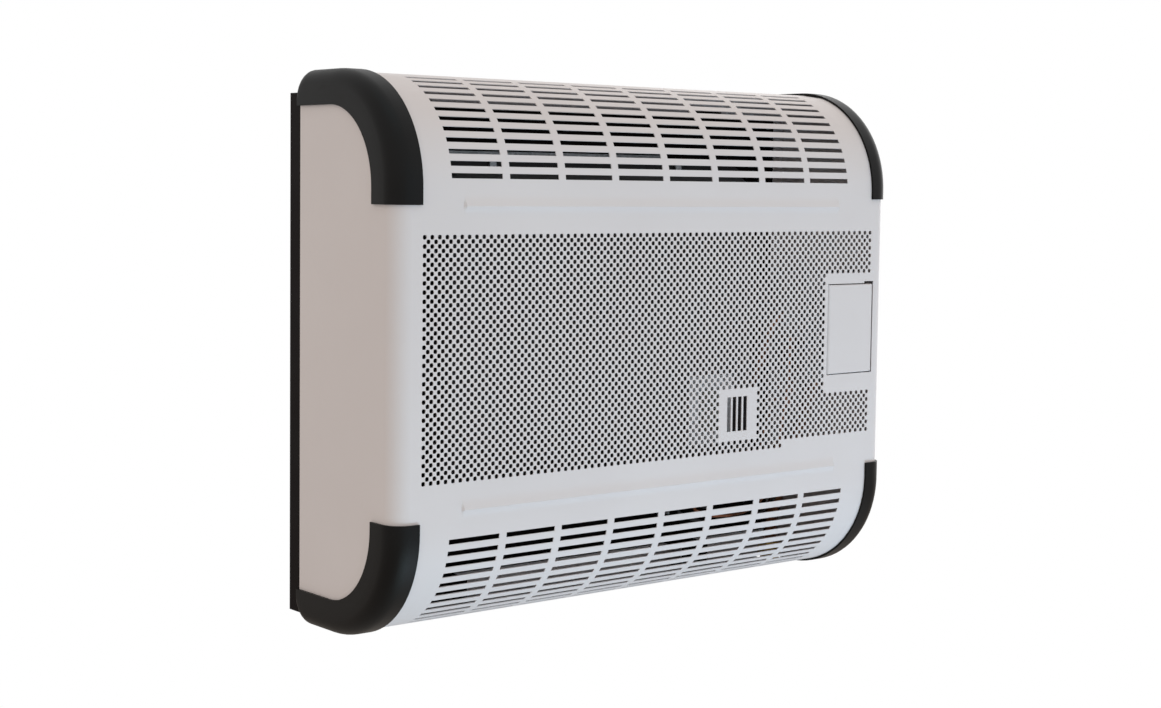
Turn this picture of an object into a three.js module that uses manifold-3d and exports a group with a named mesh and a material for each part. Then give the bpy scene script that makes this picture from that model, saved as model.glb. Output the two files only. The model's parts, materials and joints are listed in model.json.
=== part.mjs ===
// Wall mounted gas convector heater with a balanced flue, in millimetres.
// +Z is up, +Y points into the wall and +X is to the right of someone who faces the heater.
// The origin is on the wall plane, at the middle of the casing's width and height.
import * as THREE from 'three';
import { mergeVertices } from 'three/addons/utils/BufferGeometryUtils.js';
import Module from 'manifold-3d';

const wasm = await Module();
wasm.setup();

// Clearances
const gap = 0.3;                  // between pieces that touch
const runningGap = 0.4;           // round a piece that turns or slides
const doorGap = 0.8;              // round the door, at its opening's edges
const through = 4;                // how far a cut runs past the wall it opens

// Casing: one folded steel sheet
const casingWidth = 585;
const casingHeight = 477;
const casingDepth = 148;
const sheet = 1.2;
const rowsPerFacet = 2;           // rows of slots on each facet of the curls
const smallestStep = 0.05;        // of the curl's last facet, in radians
const ventArcRadius = 97.7;       // curl of the top and the bottom, outside
const bendRadius = 16;            // from the front to each side
const topBendRadius = 10;         // from the top and the bottom to each side
const bendSteps = 3;
const rearRollRadius = 11;        // roll of the top and bottom into the back edge
const returnWidth = 14;           // flange turned in along the back of each side
const returnHeight = 22;          // the same along the top and the bottom

// Vents in the two curls
const ventColumns = 8;
const ventRows = 12;
const slotWidth = 52.4;
const slotHeight = 4.4;
const slotColumnPitch = 60;
const slotRowPitch = 10.32;       // along the arc
const firstRowOffset = 11.3;      // along the arc, from its start to the first row's middle

// Perforated field and pressed bars on the flat front
const holeColumns = 14;
const holeRows = 6;
const holeSize = 16;
const fieldSideMargin = 32;       // from the casing's side to the first hole's middle
const fieldBandMargin = 43;       // from the start of the curl to the first hole's middle
const pressX = -1.4;              // middle of the slot columns and of the bars
const barLength = 448.5;
const barHeight = 17;
const barRise = 1.6;              // how far the crest stands out of the flat front
const barFromCurl = 14.3;         // from the start of the curl to the crest

// Flame window
const windowX = 91;
const windowZ = -67;
const windowSlots = 4;
const windowSlotWidth = 5;
const windowSlotHeight = 34;
const windowSlotPitch = 6.9;
const windowBlank = 50;           // side of the unpierced square round the slots

// Control door
const doorWidth = 63.5;           // its opening
const doorHeight = 89.5;
const doorFromSide = 19;          // from the casing's side to the opening's right edge
const doorZ = 7.75;
const doorBlank = 12;             // unpierced border round the opening
const doorSheet = 1.2;
const doorFlange = 6;
const barrelRadius = 4;
const pinRadius = 1.1;
const pinReach = 9;               // length of a hinge pin inside the door
const pinHead = 1.5;
const notchWidth = 13;
const notchHeight = 2.2;
const earThickness = 2;

// Corner trims, moulded plastic
const trimThickness = 1.7;
const trimFrontWidth = 25;        // from the casing's side, on the front
const trimFromCurlLong = 13.3;    // how far upper left and lower right run past the start of the curl
const trimFromCurlShort = 7;      // the same for upper right and lower left
const trimSideFront = 33.8;       // width of the side leg behind the front
const trimSideTop = 28;           // width of the side leg below the top

// Wall frame, a black steel tray
const wallFrameDepth = 19;
const frameSheet = 1.5;
const frameSideInset = 1.4;
const frameTopInset = 17;
const frameBottomInset = 7;
const frameFlange = 18;
const hookWidth = 40;
const hookX = 180;
const hookLip = 7;
const footX = 150;
const footWidth = 34;
const footLength = 18;
const keyholeX = 225;
const keyholeZ = 150;
const keyholeHead = 6;
const keyholeSlot = 3;
const keyholeLength = 16;

// Casing screws
const screwRadius = 2;
const screwHeadRadius = 4;
const screwHead = 2;
const screwLength = 12;
const screwTail = 3;              // of a chamber screw, past the rear flange

// Combustion chamber: two pressed shells with a gasket
const chamberWidth = 370;
const chamberHeight = 290;
const chamberX = -30;
const chamberZ = 10;
const chamberRearY = -48;
const chamberRearDepth = 38;
const chamberFrontDepth = 38;
const chamberWall = 1.5;
const chamberCorner = 26;
const chamberRound = 8;
const chamberFlange = 14;
const boltInset = 110;            // of the upper and lower flange screws, from the chamber's middle
const gasketThickness = 1.5;
const bracketHeight = 90;

// Flue
const flueSides = 18;             // flats that stand for each round of the flue
const flueX = -30;
const flueZ = 70;
const exhaustRadius = 36;         // bore
const airRadius = 60;             // bore
const flueWall = 1.5;
const collarFlange = 11;
const exhaustFlange = 9;
const exhaustReach = 5;           // how far the exhaust tube stands into the chamber
const collarReach = 2;            // how far the air collar stands into the air box
const airBoxWidth = 160;
const airBoxAbove = 70;           // above the flue's middle
const airBoxBelow = 24;           // below the air slot's middle
const airBoxDepth = 27;
const airSlotWidth = 120;
const airSlotHeight = 24;
const airSlotRise = 47;           // above the chamber's bottom

// Burner inside the chamber
const burnerRadius = 14;
const burnerWall = 1.2;
const burnerLength = 290;
const burnerX = -40;
const burnerRise = 39;            // above the chamber's bottom
const burnerY = -68;
const burnerPorts = 10;
const burnerPortPitch = 26;
const burnerPortWidth = 3;
const burnerPortLength = 16;
const burnerSupportSheet = 1.5;
const burnerSupportInset = 45;
const burnerSupportMargin = 6;    // of the support round the burner
const injectorRadius = 7;
const injectorHexRadius = 10;
const injectorNozzleRadius = 4;
const injectorReach = 22;         // how far the injector stands out of the chamber
const injectorInside = 6;         // how far its body stands into the chamber
const injectorHexLength = 8;
const nozzleReach = 4;            // how far the nozzle stands into the burner

// Pilot group
const pilotY = -102;
const pilotPitch = 17;
const pilotRadius = 5;
const pilotRise = 63;             // of the hood, above the chamber's bottom
const electrodeRadius = 3.5;
const probeRadius = 2.5;
const pilotPlateSheet = 1.5;
const pilotPlateWidth = 62;
const pilotPlateDepth = 20;
const pilotTail = 14;             // how far the pilot group hangs below its plate
const pilotCollar = 4;            // height of the nut under the plate
const pilotCollarReach = 2.5;     // how far the nut stands out from its stem
const hoodReach = 1;              // of the pilot's hood, round its jet
const hoodHeight = 2;
const electrodeTipRadius = 1;
const electrodeTipLength = 17;
const electrodeTipRise = 3;       // of the tip above the pilot's hood
const probeRise = 4;
const tipSeat = 1;                // how far a tip or lead is sunk in its stem

// Sight glass behind the flame window
const glassWidth = 40;
const glassHeight = 50;
const glassThickness = 2;
const glassView = 30;
const glassViewHeight = 40;
const glassRim = 8;
const glassRimSheet = 1.6;

// Controls behind the door
const panelSheet = 1.5;
const panelSetback = 21;          // from the casing's front to the control panel
const panelMargin = 9;            // how far the panel reaches past the door's opening
const knobFromDoor = 21;          // from the opening's left edge
const knobRise = 18.25;           // above the opening's middle
const knobRadius = 15;
const knobDepth = 8;
const knobFront = 8;              // from the casing's front to the knob's face
const knobGripWidth = 6;
const knobGripInset = 2.5;        // from the knob's rim to the grip's ends
const knobBevel = 1.5;
const knobDish = 6.5;             // from the knob's rear to the face beside its grip
const stemRadius = 4;
const stemTravel = 4;
const stemInKnob = 5;
const stemPanelGap = 2;           // round the stem, in the panel's hole
const endPlay = 1;                // left behind a stem or button at full travel
const valveWidth = 52;
const valveAbove = 34;            // of the body, above the stem
const valveBelow = 28;
const valveDepth = 42;
const valveFromPanel = 8;
const valveBossRadius = 11;
const valveBossHeight = 4;
const valveChamfer = 8;
const valvePortRadius = 9;
const valvePortLength = 8;
const outletRise = 20;            // from the body's bottom to the outlet's middle
const outletWall = 3;             // round the supply pipe's radius
const valveBracketInset = 10;     // from the body's top and bottom
const stemInValve = 20;
const buttonDrop = 44;            // below the knob
const buttonRadius = 6;
const buttonTravel = 5;
const buttonProud = 8;            // how far the button stands out of the igniter's collar
const igniterRadius = 9;
const igniterCollarRadius = 11.5;
const igniterCollar = 3;
const igniterLength = 34;
const igniterEnd = 3;             // closed end of the igniter
const magnetRadius = 3.5;
const magnetInset = 8;            // from the opening's top and right edges

// Pipes and leads
const inletFromKnob = 21;
const inletY = -52;
const inletPipeRadius = 7;
const supplyPipeRadius = 5;
const pipeWall = 1;
const pilotPipeRadius = 2;
const leadRadius = 1.5;
const capillaryRadius = 1;
const unionRadius = 13;
const unionLength = 20;
const unionProud = 3;
const unionHoleGap = 2;           // round the union, in the casing's hole
const bulbRadius = 3.5;
const bulbLength = 80;
const bulbX = 60;
const bulbDrop = 16;              // below the chamber's flange
const clipSheet = 2;
const clipGrip = 8;
const clipInset = 14;
const leadDrop = 22;              // how far the leads sag below the pilot group

// Baffle and heat shield
const baffleWidth = 170;
const baffleHeight = 130;
const baffleStand = 22;
const baffleFoot = 12;
const baffleSheet = 1.2;
const shieldWidth = 330;
const shieldHeight = 350;
const shieldSheet = 1;
const shieldFromWall = 12;
const shieldFootRadius = 5;
const shieldHoleGap = 2;          // round the air collar

// Places worked out from the sizes above
const backY = -wallFrameDepth;
const frontY = backY - casingDepth;
const halfWidth = casingWidth / 2;
const halfHeight = casingHeight / 2;
const curlStart = halfHeight - ventArcRadius;
const innerFrontY = frontY + sheet;
const doorRight = halfWidth - doorFromSide;
const doorLeft = doorRight - doorWidth;
const doorTop = doorZ + doorHeight / 2;
const doorBottom = doorZ - doorHeight / 2;
const hingeX = doorLeft + doorGap + barrelRadius;
const hingeY = frontY + barrelRadius;
const chamberLeft = chamberX - chamberWidth / 2;
const chamberRight = chamberX + chamberWidth / 2;
const chamberBottom = chamberZ - chamberHeight / 2;
const rearRimY = chamberRearY - chamberRearDepth;
const frontRimY = rearRimY - gasketThickness - 2 * gap;
const chamberFrontY = frontRimY - chamberFrontDepth;
const burnerZ = chamberBottom + burnerRise;
const pilotTop = chamberBottom + pilotRise;
const airSlotZ = chamberBottom + airSlotRise;
const airBoxTop = flueZ + airBoxAbove;
const airBoxBottom = airSlotZ - airBoxBelow;
const knobX = doorLeft + knobFromDoor;
const knobZ = doorZ + knobRise;
const buttonX = knobX;
const buttonZ = knobZ - buttonDrop;
const inletX = knobX + inletFromKnob;
const panelY = frontY + panelSetback;
const valveY = panelY + panelSheet + valveFromPanel;
const frameFrontY = backY + gap;
const frameTop = halfHeight - frameTopInset;
const frameBottom = -halfHeight + frameBottomInset;
const pilotPlateTop = chamberBottom - gap;
const pilotPlateBottom = pilotPlateTop - pilotPlateSheet;
const pilotTailZ = pilotPlateBottom - pilotTail;

// Finishes
function finish(color, roughness, metalness = 0) {
  return new THREE.MeshStandardMaterial({ color, roughness, metalness });
}
const whitePaint = finish(0xcbcad0, 0.45);
const blackPlastic = finish(0x232324, 0.6);
const blackPaint = finish(0x1d1b1b, 0.55);
const enamel = finish(0x2b2b2e, 0.5, 0.2);
const steel = finish(0x9b9da1, 0.35, 0.9);
const castAluminium = finish(0xa9abae, 0.5, 0.8);
const brass = finish(0xb5924c, 0.35, 0.9);
const copper = finish(0xb06a45, 0.35, 0.9);
const gasketGrey = finish(0xb9b4a6, 0.9);
const ceramic = finish(0xe7e3da, 0.35);
const glass = finish(0xc9d6d6, 0.1);
const redSilicone = finish(0x8e2f26, 0.6);
const buttonBlack = finish(0x2a2a2b, 0.4);

// Solids from geometries, and back
function toSolid(geometry) {
  const bare = geometry.clone();
  bare.deleteAttribute('normal');
  bare.deleteAttribute('uv');
  const merged = mergeVertices(bare, 1e-4);
  const vertProperties = new Float32Array(merged.attributes.position.array);
  const triVerts = new Uint32Array(merged.index.array);
  return new wasm.Manifold(new wasm.Mesh({ numProp: 3, vertProperties, triVerts }));
}

function toGeometry(solid) {
  const mesh = solid.getMesh();
  const corners = [];
  for (const vertex of mesh.triVerts) {
    for (let axis = 0; axis < 3; axis += 1) {
      corners.push(mesh.vertProperties[vertex * mesh.numProp + axis]);
    }
  }
  const geometry = new THREE.BufferGeometry();
  geometry.setAttribute('position', new THREE.Float32BufferAttribute(corners, 3));
  geometry.computeVertexNormals();
  return geometry;
}

function join(...solids) {
  return solids.reduce((whole, solid) => whole.add(solid));
}

function cut(solid, ...cutters) {
  return cutters.reduce((rest, cutter) => rest.subtract(cutter), solid);
}

// Basic forms
function block(x0, x1, y0, y1, z0, z1) {
  const geometry = new THREE.BoxGeometry(x1 - x0, y1 - y0, z1 - z0);
  geometry.translate((x0 + x1) / 2, (y0 + y1) / 2, (z0 + z1) / 2);
  return toSolid(geometry);
}

function blockAt(x, y0, y1, z, width, height) {
  return block(x - width / 2, x + width / 2, y0, y1, z - height / 2, z + height / 2);
}

function rod(axis, radius, from, to, a, b, sides = 16) {
  const geometry = new THREE.CylinderGeometry(radius, radius, to - from, sides);
  geometry.translate(0, (from + to) / 2, 0);
  if (axis === 'x') {
    geometry.rotateZ(-Math.PI / 2);
    geometry.translate(0, a, b);
  } else if (axis === 'y') {
    geometry.translate(a, 0, b);
  } else {
    geometry.rotateX(Math.PI / 2);
    geometry.translate(a, b, 0);
  }
  return toSolid(geometry);
}

function ring(axis, outer, inner, from, to, a, b, sides = 24) {
  const bore = rod(axis, inner, from - through, to + through, a, b, sides);
  return cut(rod(axis, outer, from, to, a, b, sides), bore);
}

function extrudeShape(shape, depth, bevel) {
  const options = { depth, bevelEnabled: false, curveSegments: 2 };
  if (bevel) {
    Object.assign(options, { bevelEnabled: true, bevelSegments: 1, bevelSize: bevel });
    Object.assign(options, { bevelThickness: bevel, bevelOffset: -bevel });
  }
  return new THREE.ExtrudeGeometry(shape, options);
}

function alongX(points, x0, x1) {
  const geometry = extrudeShape(new THREE.Shape(points), x1 - x0);
  const turn = new THREE.Matrix4().makeBasis(
    new THREE.Vector3(0, 1, 0),
    new THREE.Vector3(0, 0, 1),
    new THREE.Vector3(1, 0, 0),
  );
  geometry.applyMatrix4(turn);
  geometry.translate(x0, 0, 0);
  return toSolid(geometry);
}

function alongZ(points, z0, z1) {
  const geometry = extrudeShape(new THREE.Shape(points), z1 - z0);
  geometry.translate(0, 0, z0);
  return toSolid(geometry);
}

function roundedRectangle(width, height, radius) {
  const w = width / 2;
  const h = height / 2;
  const shape = new THREE.Shape();
  shape.moveTo(-w + radius, -h);
  shape.lineTo(w - radius, -h);
  shape.absarc(w - radius, -h + radius, radius, -Math.PI / 2, 0, false);
  shape.lineTo(w, h - radius);
  shape.absarc(w - radius, h - radius, radius, 0, Math.PI / 2, false);
  shape.lineTo(-w + radius, h);
  shape.absarc(-w + radius, h - radius, radius, Math.PI / 2, Math.PI, false);
  shape.lineTo(-w, -h + radius);
  shape.absarc(-w + radius, -h + radius, radius, Math.PI, Math.PI * 1.5, false);
  return shape;
}

// A rounded plate in the XZ plane, from y0 to y1
function roundedPlate(x, z, width, height, radius, y0, y1) {
  const geometry = extrudeShape(roundedRectangle(width, height, radius), y1 - y0);
  geometry.rotateX(Math.PI / 2);
  geometry.translate(x, y1, z);
  return toSolid(geometry);
}

function pointsOfArc(centreA, centreB, radius, from, to, steps) {
  const points = [];
  for (let step = 0; step <= steps; step += 1) {
    const angle = from + ((to - from) * step) / steps;
    points.push(new THREE.Vector2(centreA + radius * Math.cos(angle), centreB + radius * Math.sin(angle)));
  }
  return points;
}

// A closed solid through rings of points that follow each other along x, with flat ends
function loft(rings) {
  const count = rings[0].length;
  const index = [];
  for (let ring = 0; ring < rings.length - 1; ring += 1) {
    for (let point = 0; point < count; point += 1) {
      const a = ring * count + point;
      const b = ring * count + ((point + 1) % count);
      index.push(a, b, b + count, a, b + count, a + count);
    }
  }
  const last = (rings.length - 1) * count;
  const end = rings[0].map((point) => new THREE.Vector2(point.y, point.z));
  for (const [a, b, c] of THREE.ShapeUtils.triangulateShape(end, [])) {
    index.push(a, c, b, last + a, last + b, last + c);
  }
  const geometry = new THREE.BufferGeometry().setFromPoints(rings.flat());
  geometry.setIndex(index);
  return toSolid(geometry);
}

// A tube or rod along a smooth curve through the given points
function pipe(points, radius, bore, sides, steps) {
  const shape = new THREE.Shape(pointsOfArc(0, 0, radius, 0, Math.PI * 2, sides).slice(0, -1));
  if (bore) {
    shape.holes.push(new THREE.Path(pointsOfArc(0, 0, bore, 0, Math.PI * 2, sides).slice(0, -1)));
  }
  const places = points.map((point) => new THREE.Vector3(...point));
  const curve = new THREE.CatmullRomCurve3(places, false, 'centripetal');
  return toSolid(new THREE.ExtrudeGeometry(shape, { steps, extrudePath: curve }));
}

// Casing
function curlAngles() {
  const edge = firstRowOffset - slotRowPitch / 2;
  const angles = [0];
  for (let row = 0; row <= ventRows; row += rowsPerFacet) {
    angles.push((edge + row * slotRowPitch) / ventArcRadius);
  }
  return angles.filter((angle) => angle < Math.PI / 2 - smallestStep).concat(Math.PI / 2);
}

// One ring round the casing, grown outwards, where its skin has turned by an angle towards a side.
// The bend from the front to the side narrows along the curl.
function casingRing(side, turn, grow) {
  const upper = [];
  const put = (bend, y, z) => {
    const x = side * (halfWidth - bend + (bend + grow) * Math.sin(turn));
    upper.push(new THREE.Vector3(x, y, z));
  };
  const topInset = (topBendRadius + grow) * (1 - Math.cos(turn));
  const rollY = backY - rearRollRadius;
  const rollZ = halfHeight - rearRollRadius - topInset;
  for (const point of pointsOfArc(rollY, rollZ, rearRollRadius + grow, 0, Math.PI / 2, 3)) {
    put(topBendRadius, point.x, point.y);
  }
  for (const angle of curlAngles().reverse()) {
    const bend = bendRadius + (topBendRadius - bendRadius) * (angle / (Math.PI / 2));
    const radius = ventArcRadius + grow - (bend + grow) * (1 - Math.cos(turn));
    put(bend, frontY + ventArcRadius - radius * Math.cos(angle), curlStart + radius * Math.sin(angle));
  }
  const lower = upper.map((point) => new THREE.Vector3(point.x, point.y, -point.z)).reverse();
  return [...upper, ...lower];
}

function casingBody(grow) {
  const left = [];
  const right = [];
  for (let step = 0; step <= bendSteps; step += 1) {
    const turn = (step / bendSteps) * (Math.PI / 2);
    left.unshift(casingRing(-1, turn, grow));
    right.push(casingRing(1, turn, grow));
  }
  return loft([...left, ...right]);
}

function ventSlots() {
  const slots = [];
  const slot = new THREE.BoxGeometry(slotWidth, through, slotHeight);
  for (const side of [1, -1]) {
    for (let row = 0; row < ventRows; row += 1) {
      const angle = (firstRowOffset + row * slotRowPitch) / ventArcRadius;
      const y = frontY + ventArcRadius - (ventArcRadius - sheet / 2) * Math.cos(angle);
      const z = curlStart + (ventArcRadius - sheet / 2) * Math.sin(angle);
      for (let column = 0; column < ventColumns; column += 1) {
        const x = pressX + (column - (ventColumns - 1) / 2) * slotColumnPitch;
        const copy = slot.clone();
        copy.rotateX(-angle * side);
        copy.translate(x, y, z * side);
        slots.push(toSolid(copy));
      }
    }
  }
  return slots;
}

function near(x, z, centreX, centreZ, reachX, reachZ) {
  return Math.abs(x - centreX) < reachX && Math.abs(z - centreZ) < reachZ;
}

// Staggered holes, left out round the door and the flame window
function fieldHoles() {
  const spanX = casingWidth - 2 * fieldSideMargin;
  const spanZ = 2 * (curlStart - fieldBandMargin);
  const stepX = spanX / (holeColumns - 1) / 2;
  const stepZ = spanZ / (holeRows - 1) / 2;
  const windowReach = (windowBlank + holeSize) / 2;
  const doorReachX = doorWidth / 2 + doorBlank;
  const doorReachZ = doorHeight / 2 + doorBlank;
  const doorX = (doorLeft + doorRight) / 2;
  const holes = [];
  for (let row = 0; row < 2 * holeRows - 1; row += 1) {
    for (let column = row % 2; column < 2 * holeColumns - 1; column += 2) {
      const x = -spanX / 2 + column * stepX;
      const z = spanZ / 2 - row * stepZ;
      const atWindow = near(x, z, windowX, windowZ, windowReach, windowReach);
      if (!atWindow && !near(x, z, doorX, doorZ, doorReachX, doorReachZ)) {
        holes.push(blockAt(x, frontY - through, innerFrontY + through, z, holeSize, holeSize));
      }
    }
  }
  return holes;
}

function windowCuts() {
  const cuts = [];
  const ys = [frontY - through, innerFrontY + through];
  for (let slot = 0; slot < windowSlots; slot += 1) {
    const x = windowX + (slot - (windowSlots - 1) / 2) * windowSlotPitch;
    cuts.push(blockAt(x, ...ys, windowZ, windowSlotWidth, windowSlotHeight));
  }
  return cuts;
}

function doorCuts() {
  const opening = block(doorLeft, doorRight, frontY - through, innerFrontY + through, doorBottom, doorTop);
  const notch = block(
    doorRight - notchWidth,
    doorRight,
    frontY - through,
    innerFrontY + through,
    doorTop - through,
    doorTop + notchHeight,
  );
  return [opening, notch];
}

// A pressed bar: a low ridge along x that is steepest at its crest
function barRidge(z, y, length) {
  const half = barHeight / 2;
  const points = [
    [y + sheet / 2, z - half],
    [y, z - half],
    [y - 0.35 * barRise, z - 0.4 * half],
    [y - barRise, z],
    [y - 0.35 * barRise, z + 0.4 * half],
    [y, z + half],
    [y + sheet / 2, z + half],
  ].map(([a, b]) => new THREE.Vector2(a, b));
  return alongX(points, pressX - length / 2, pressX + length / 2);
}

function frontCasing() {
  const middle = casingBody(-sheet);
  const backOpening = block(
    -halfWidth + returnWidth,
    halfWidth - returnWidth,
    backY - sheet - through,
    backY + through,
    -halfHeight + returnHeight,
    halfHeight - returnHeight,
  );
  const shell = cut(casingBody(0), middle, backOpening);
  const crests = [curlStart - barFromCurl, barFromCurl - curlStart];
  const bars = crests.map((z) => barRidge(z, frontY, barLength));
  const hollows = crests.map((z) => barRidge(z, innerFrontY, barLength - 2 * sheet));
  const screwHoles = [footX, -footX].map((x) => (
    rod('z', screwRadius + runningGap, -halfHeight - through, -halfHeight + through, x, footHoleY(), 8)
  ));
  const inletHole = unionRadius + unionHoleGap;
  const inlet = rod('z', inletHole, -halfHeight - through, -halfHeight + through, inletX, inletY, 16);
  const cuts = [...hollows, ...ventSlots(), ...fieldHoles(), ...windowCuts(), ...doorCuts()];
  return cut(join(shell, ...bars), wasm.Manifold.union(cuts), ...screwHoles, inlet);
}

// Corner trims: the casing's own corner grown outwards, cut to two legs
function cornerTrim(sideX, sideZ) {
  const shell = cut(casingBody(gap + trimThickness), casingBody(gap));
  const outerX = halfWidth + 2 * trimThickness;
  const outerZ = halfHeight + 2 * trimThickness;
  const xs = [sideX * (halfWidth - trimFrontWidth), sideX * outerX].sort((a, b) => a - b);
  const pastCurl = sideX * sideZ < 0 ? trimFromCurlLong : trimFromCurlShort;
  const zs = [sideZ * (curlStart - pastCurl), sideZ * outerZ].sort((a, b) => a - b);
  const corner = block(...xs, frontY - 2 * trimThickness, backY, ...zs);
  const innerCurl = [];
  for (let step = 0; step <= 8; step += 1) {
    const angle = (step / 8) * (Math.PI / 2);
    innerCurl.push(new THREE.Vector2(
      frontY + ventArcRadius - (ventArcRadius - trimSideFront) * Math.cos(angle),
      sideZ * (curlStart + (ventArcRadius - trimSideTop) * Math.sin(angle)),
    ));
  }
  const sideWindow = [
    new THREE.Vector2(frontY + trimSideFront, 0),
    ...innerCurl,
    new THREE.Vector2(backY + through, sideZ * (halfHeight - trimSideTop)),
    new THREE.Vector2(backY + through, 0),
  ];
  return cut(shell.intersect(corner), alongX(sideWindow, ...xs));
}

// Control door: a tray of sheet with a rolled hinge barrel along its left edge
function controlDoor() {
  const right = doorRight - doorGap;
  const top = doorTop - doorGap;
  const bottom = doorBottom + doorGap;
  const tray = cut(
    block(hingeX, right, frontY, frontY + doorFlange, bottom, top),
    block(
      hingeX - through,
      right - doorSheet,
      frontY + doorSheet,
      frontY + doorFlange + through,
      bottom + doorSheet,
      top - doorSheet,
    ),
  );
  const barrel = rod('z', barrelRadius, bottom, top, hingeX, hingeY, 20);
  const bore = rod('z', pinRadius + runningGap, bottom - through, top + through, hingeX, hingeY, 12);
  return cut(join(tray, barrel), bore);
}

// One bracket behind the casing holds both hinge ears
function hingeBracket() {
  const earTop = doorTop + gap;
  const earBottom = doorBottom - gap;
  const plateY = innerFrontY + gap;
  const depth = hingeY + barrelRadius - plateY;
  const left = doorLeft - doorBlank;
  const right = hingeX + barrelRadius;
  const rear = plateY + depth;
  const upper = block(left, right, plateY, rear, earTop, earTop + earThickness);
  const lower = block(left, right, plateY, rear, earBottom - earThickness, earBottom);
  const spine = block(left, left + earThickness, plateY, rear, earBottom, earTop);
  const holes = rod(
    'z',
    pinRadius + gap,
    earBottom - earThickness - through,
    earTop + earThickness + through,
    hingeX,
    hingeY,
    12,
  );
  return cut(join(upper, lower, spine), holes);
}

// A hinge pin through one ear: side is 1 at the door's top and -1 at its bottom
function hingePin(side) {
  const doorEnd = doorZ + side * (doorHeight / 2 - doorGap);
  const earOutside = doorZ + side * (doorHeight / 2 + gap + earThickness);
  const headFrom = earOutside + side * gap;
  const headTo = headFrom + side * pinHead;
  const head = [headFrom, headTo].sort((a, b) => a - b);
  const shank = [doorEnd - side * pinReach, headFrom + side * (pinHead / 2)].sort((a, b) => a - b);
  return join(
    rod('z', pinRadius * 2, ...head, hingeX, hingeY, 12),
    rod('z', pinRadius, ...shank, hingeX, hingeY, 12),
  );
}

// Wall frame: a shallow tray whose hooks and feet carry the casing
function footHoleY() {
  return backY - rearRollRadius - gap - footLength / 2;
}

function casingHook(x) {
  const edge = halfHeight - returnHeight - gap;
  const lipBack = backY - sheet - gap;
  const shelf = block(
    x - hookWidth / 2,
    x + hookWidth / 2,
    lipBack - frameSheet,
    frameFrontY + frameSheet / 2,
    edge - frameSheet,
    edge,
  );
  const lip = block(
    x - hookWidth / 2,
    x + hookWidth / 2,
    lipBack - frameSheet,
    lipBack,
    edge - frameSheet,
    edge + hookLip,
  );
  return join(shelf, lip);
}

function casingFoot(x) {
  const edge = -halfHeight + returnHeight + gap;
  const floor = -halfHeight + sheet + gap;
  const front = footHoleY() - footLength / 2;
  const left = x - footWidth / 2;
  const right = x + footWidth / 2;
  const shelf = block(left, right, front, frameFrontY + frameSheet / 2, edge, edge + frameSheet);
  const leg = block(left, right, front, front + frameSheet, floor, edge + frameSheet);
  const sole = block(left, right, front, front + footLength, floor, floor + frameSheet);
  const thread = rod('z', screwRadius + gap, floor - through, floor + through, x, footHoleY(), 8);
  return cut(join(shelf, leg, sole), thread);
}

function keyhole(x, z) {
  const head = rod('y', keyholeHead, -frameSheet - through, through, x, z, 12);
  const slot = block(
    x - keyholeSlot,
    x + keyholeSlot,
    -frameSheet - through,
    through,
    z,
    z + keyholeLength,
  );
  return join(head, slot);
}

function wallFrame() {
  const reach = halfWidth - frameSideInset;
  const tray = block(-reach, reach, frameFrontY, 0, frameBottom, frameTop);
  const hollow = block(
    -reach + frameSheet,
    reach - frameSheet,
    frameFrontY + frameSheet,
    -frameSheet,
    frameBottom + frameSheet,
    frameTop - frameSheet,
  );
  const mouth = block(
    -reach + frameFlange,
    reach - frameFlange,
    frameFrontY - through,
    frameFrontY + frameSheet + through,
    frameBottom + frameFlange,
    frameTop - frameFlange,
  );
  const flueHole = rod(
    'y',
    airRadius + flueWall + collarFlange + gap,
    -frameSheet - through,
    through,
    flueX,
    flueZ,
    flueSides,
  );
  const keyholes = [keyholeX, -keyholeX].flatMap((x) => [keyhole(x, keyholeZ), keyhole(x, -keyholeZ)]);
  const tabs = [hookX, -hookX].map(casingHook).concat([footX, -footX].map(casingFoot));
  return join(cut(tray, hollow, mouth, flueHole, ...keyholes), ...tabs);
}

function casingScrew(x) {
  const underside = -halfHeight - gap;
  const y = footHoleY();
  const head = rod('z', screwHeadRadius, underside - screwHead, underside, x, y, 12);
  const shank = rod('z', screwRadius, underside - screwHead / 2, underside + screwLength, x, y, 8);
  return join(head, shank);
}

// Pressed chamber shells: rounded tubs with a flange at their rim
function tub(y0, y1, grow, round) {
  const width = chamberWidth + 2 * grow;
  const height = chamberHeight + 2 * grow;
  const depth = y1 - y0 - 2 * round;
  const geometry = extrudeShape(roundedRectangle(width, height, chamberCorner + grow), depth, round);
  geometry.rotateX(Math.PI / 2);
  geometry.translate(chamberX, y1 - round, chamberZ);
  return toSolid(geometry);
}

function rim(y0, y1) {
  const width = chamberWidth + 2 * chamberFlange;
  const height = chamberHeight + 2 * chamberFlange;
  return roundedPlate(chamberX, chamberZ, width, height, chamberCorner, y0, y1);
}

function rimBolts() {
  const sideX = chamberWidth / 2 + chamberFlange / 2;
  const sideZ = chamberHeight / 2 + chamberFlange / 2;
  const bolts = [];
  for (const x of [-1, 1]) {
    bolts.push([chamberX + x * sideX, chamberZ]);
    for (const z of [-1, 1]) {
      bolts.push([chamberX + x * boltInset, chamberZ + z * sideZ]);
    }
  }
  return bolts;
}

function boltHoles(y0, y1) {
  return rimBolts().map(([x, z]) => rod('y', screwRadius + gap, y0 - through, y1 + through, x, z, 6));
}

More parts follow.
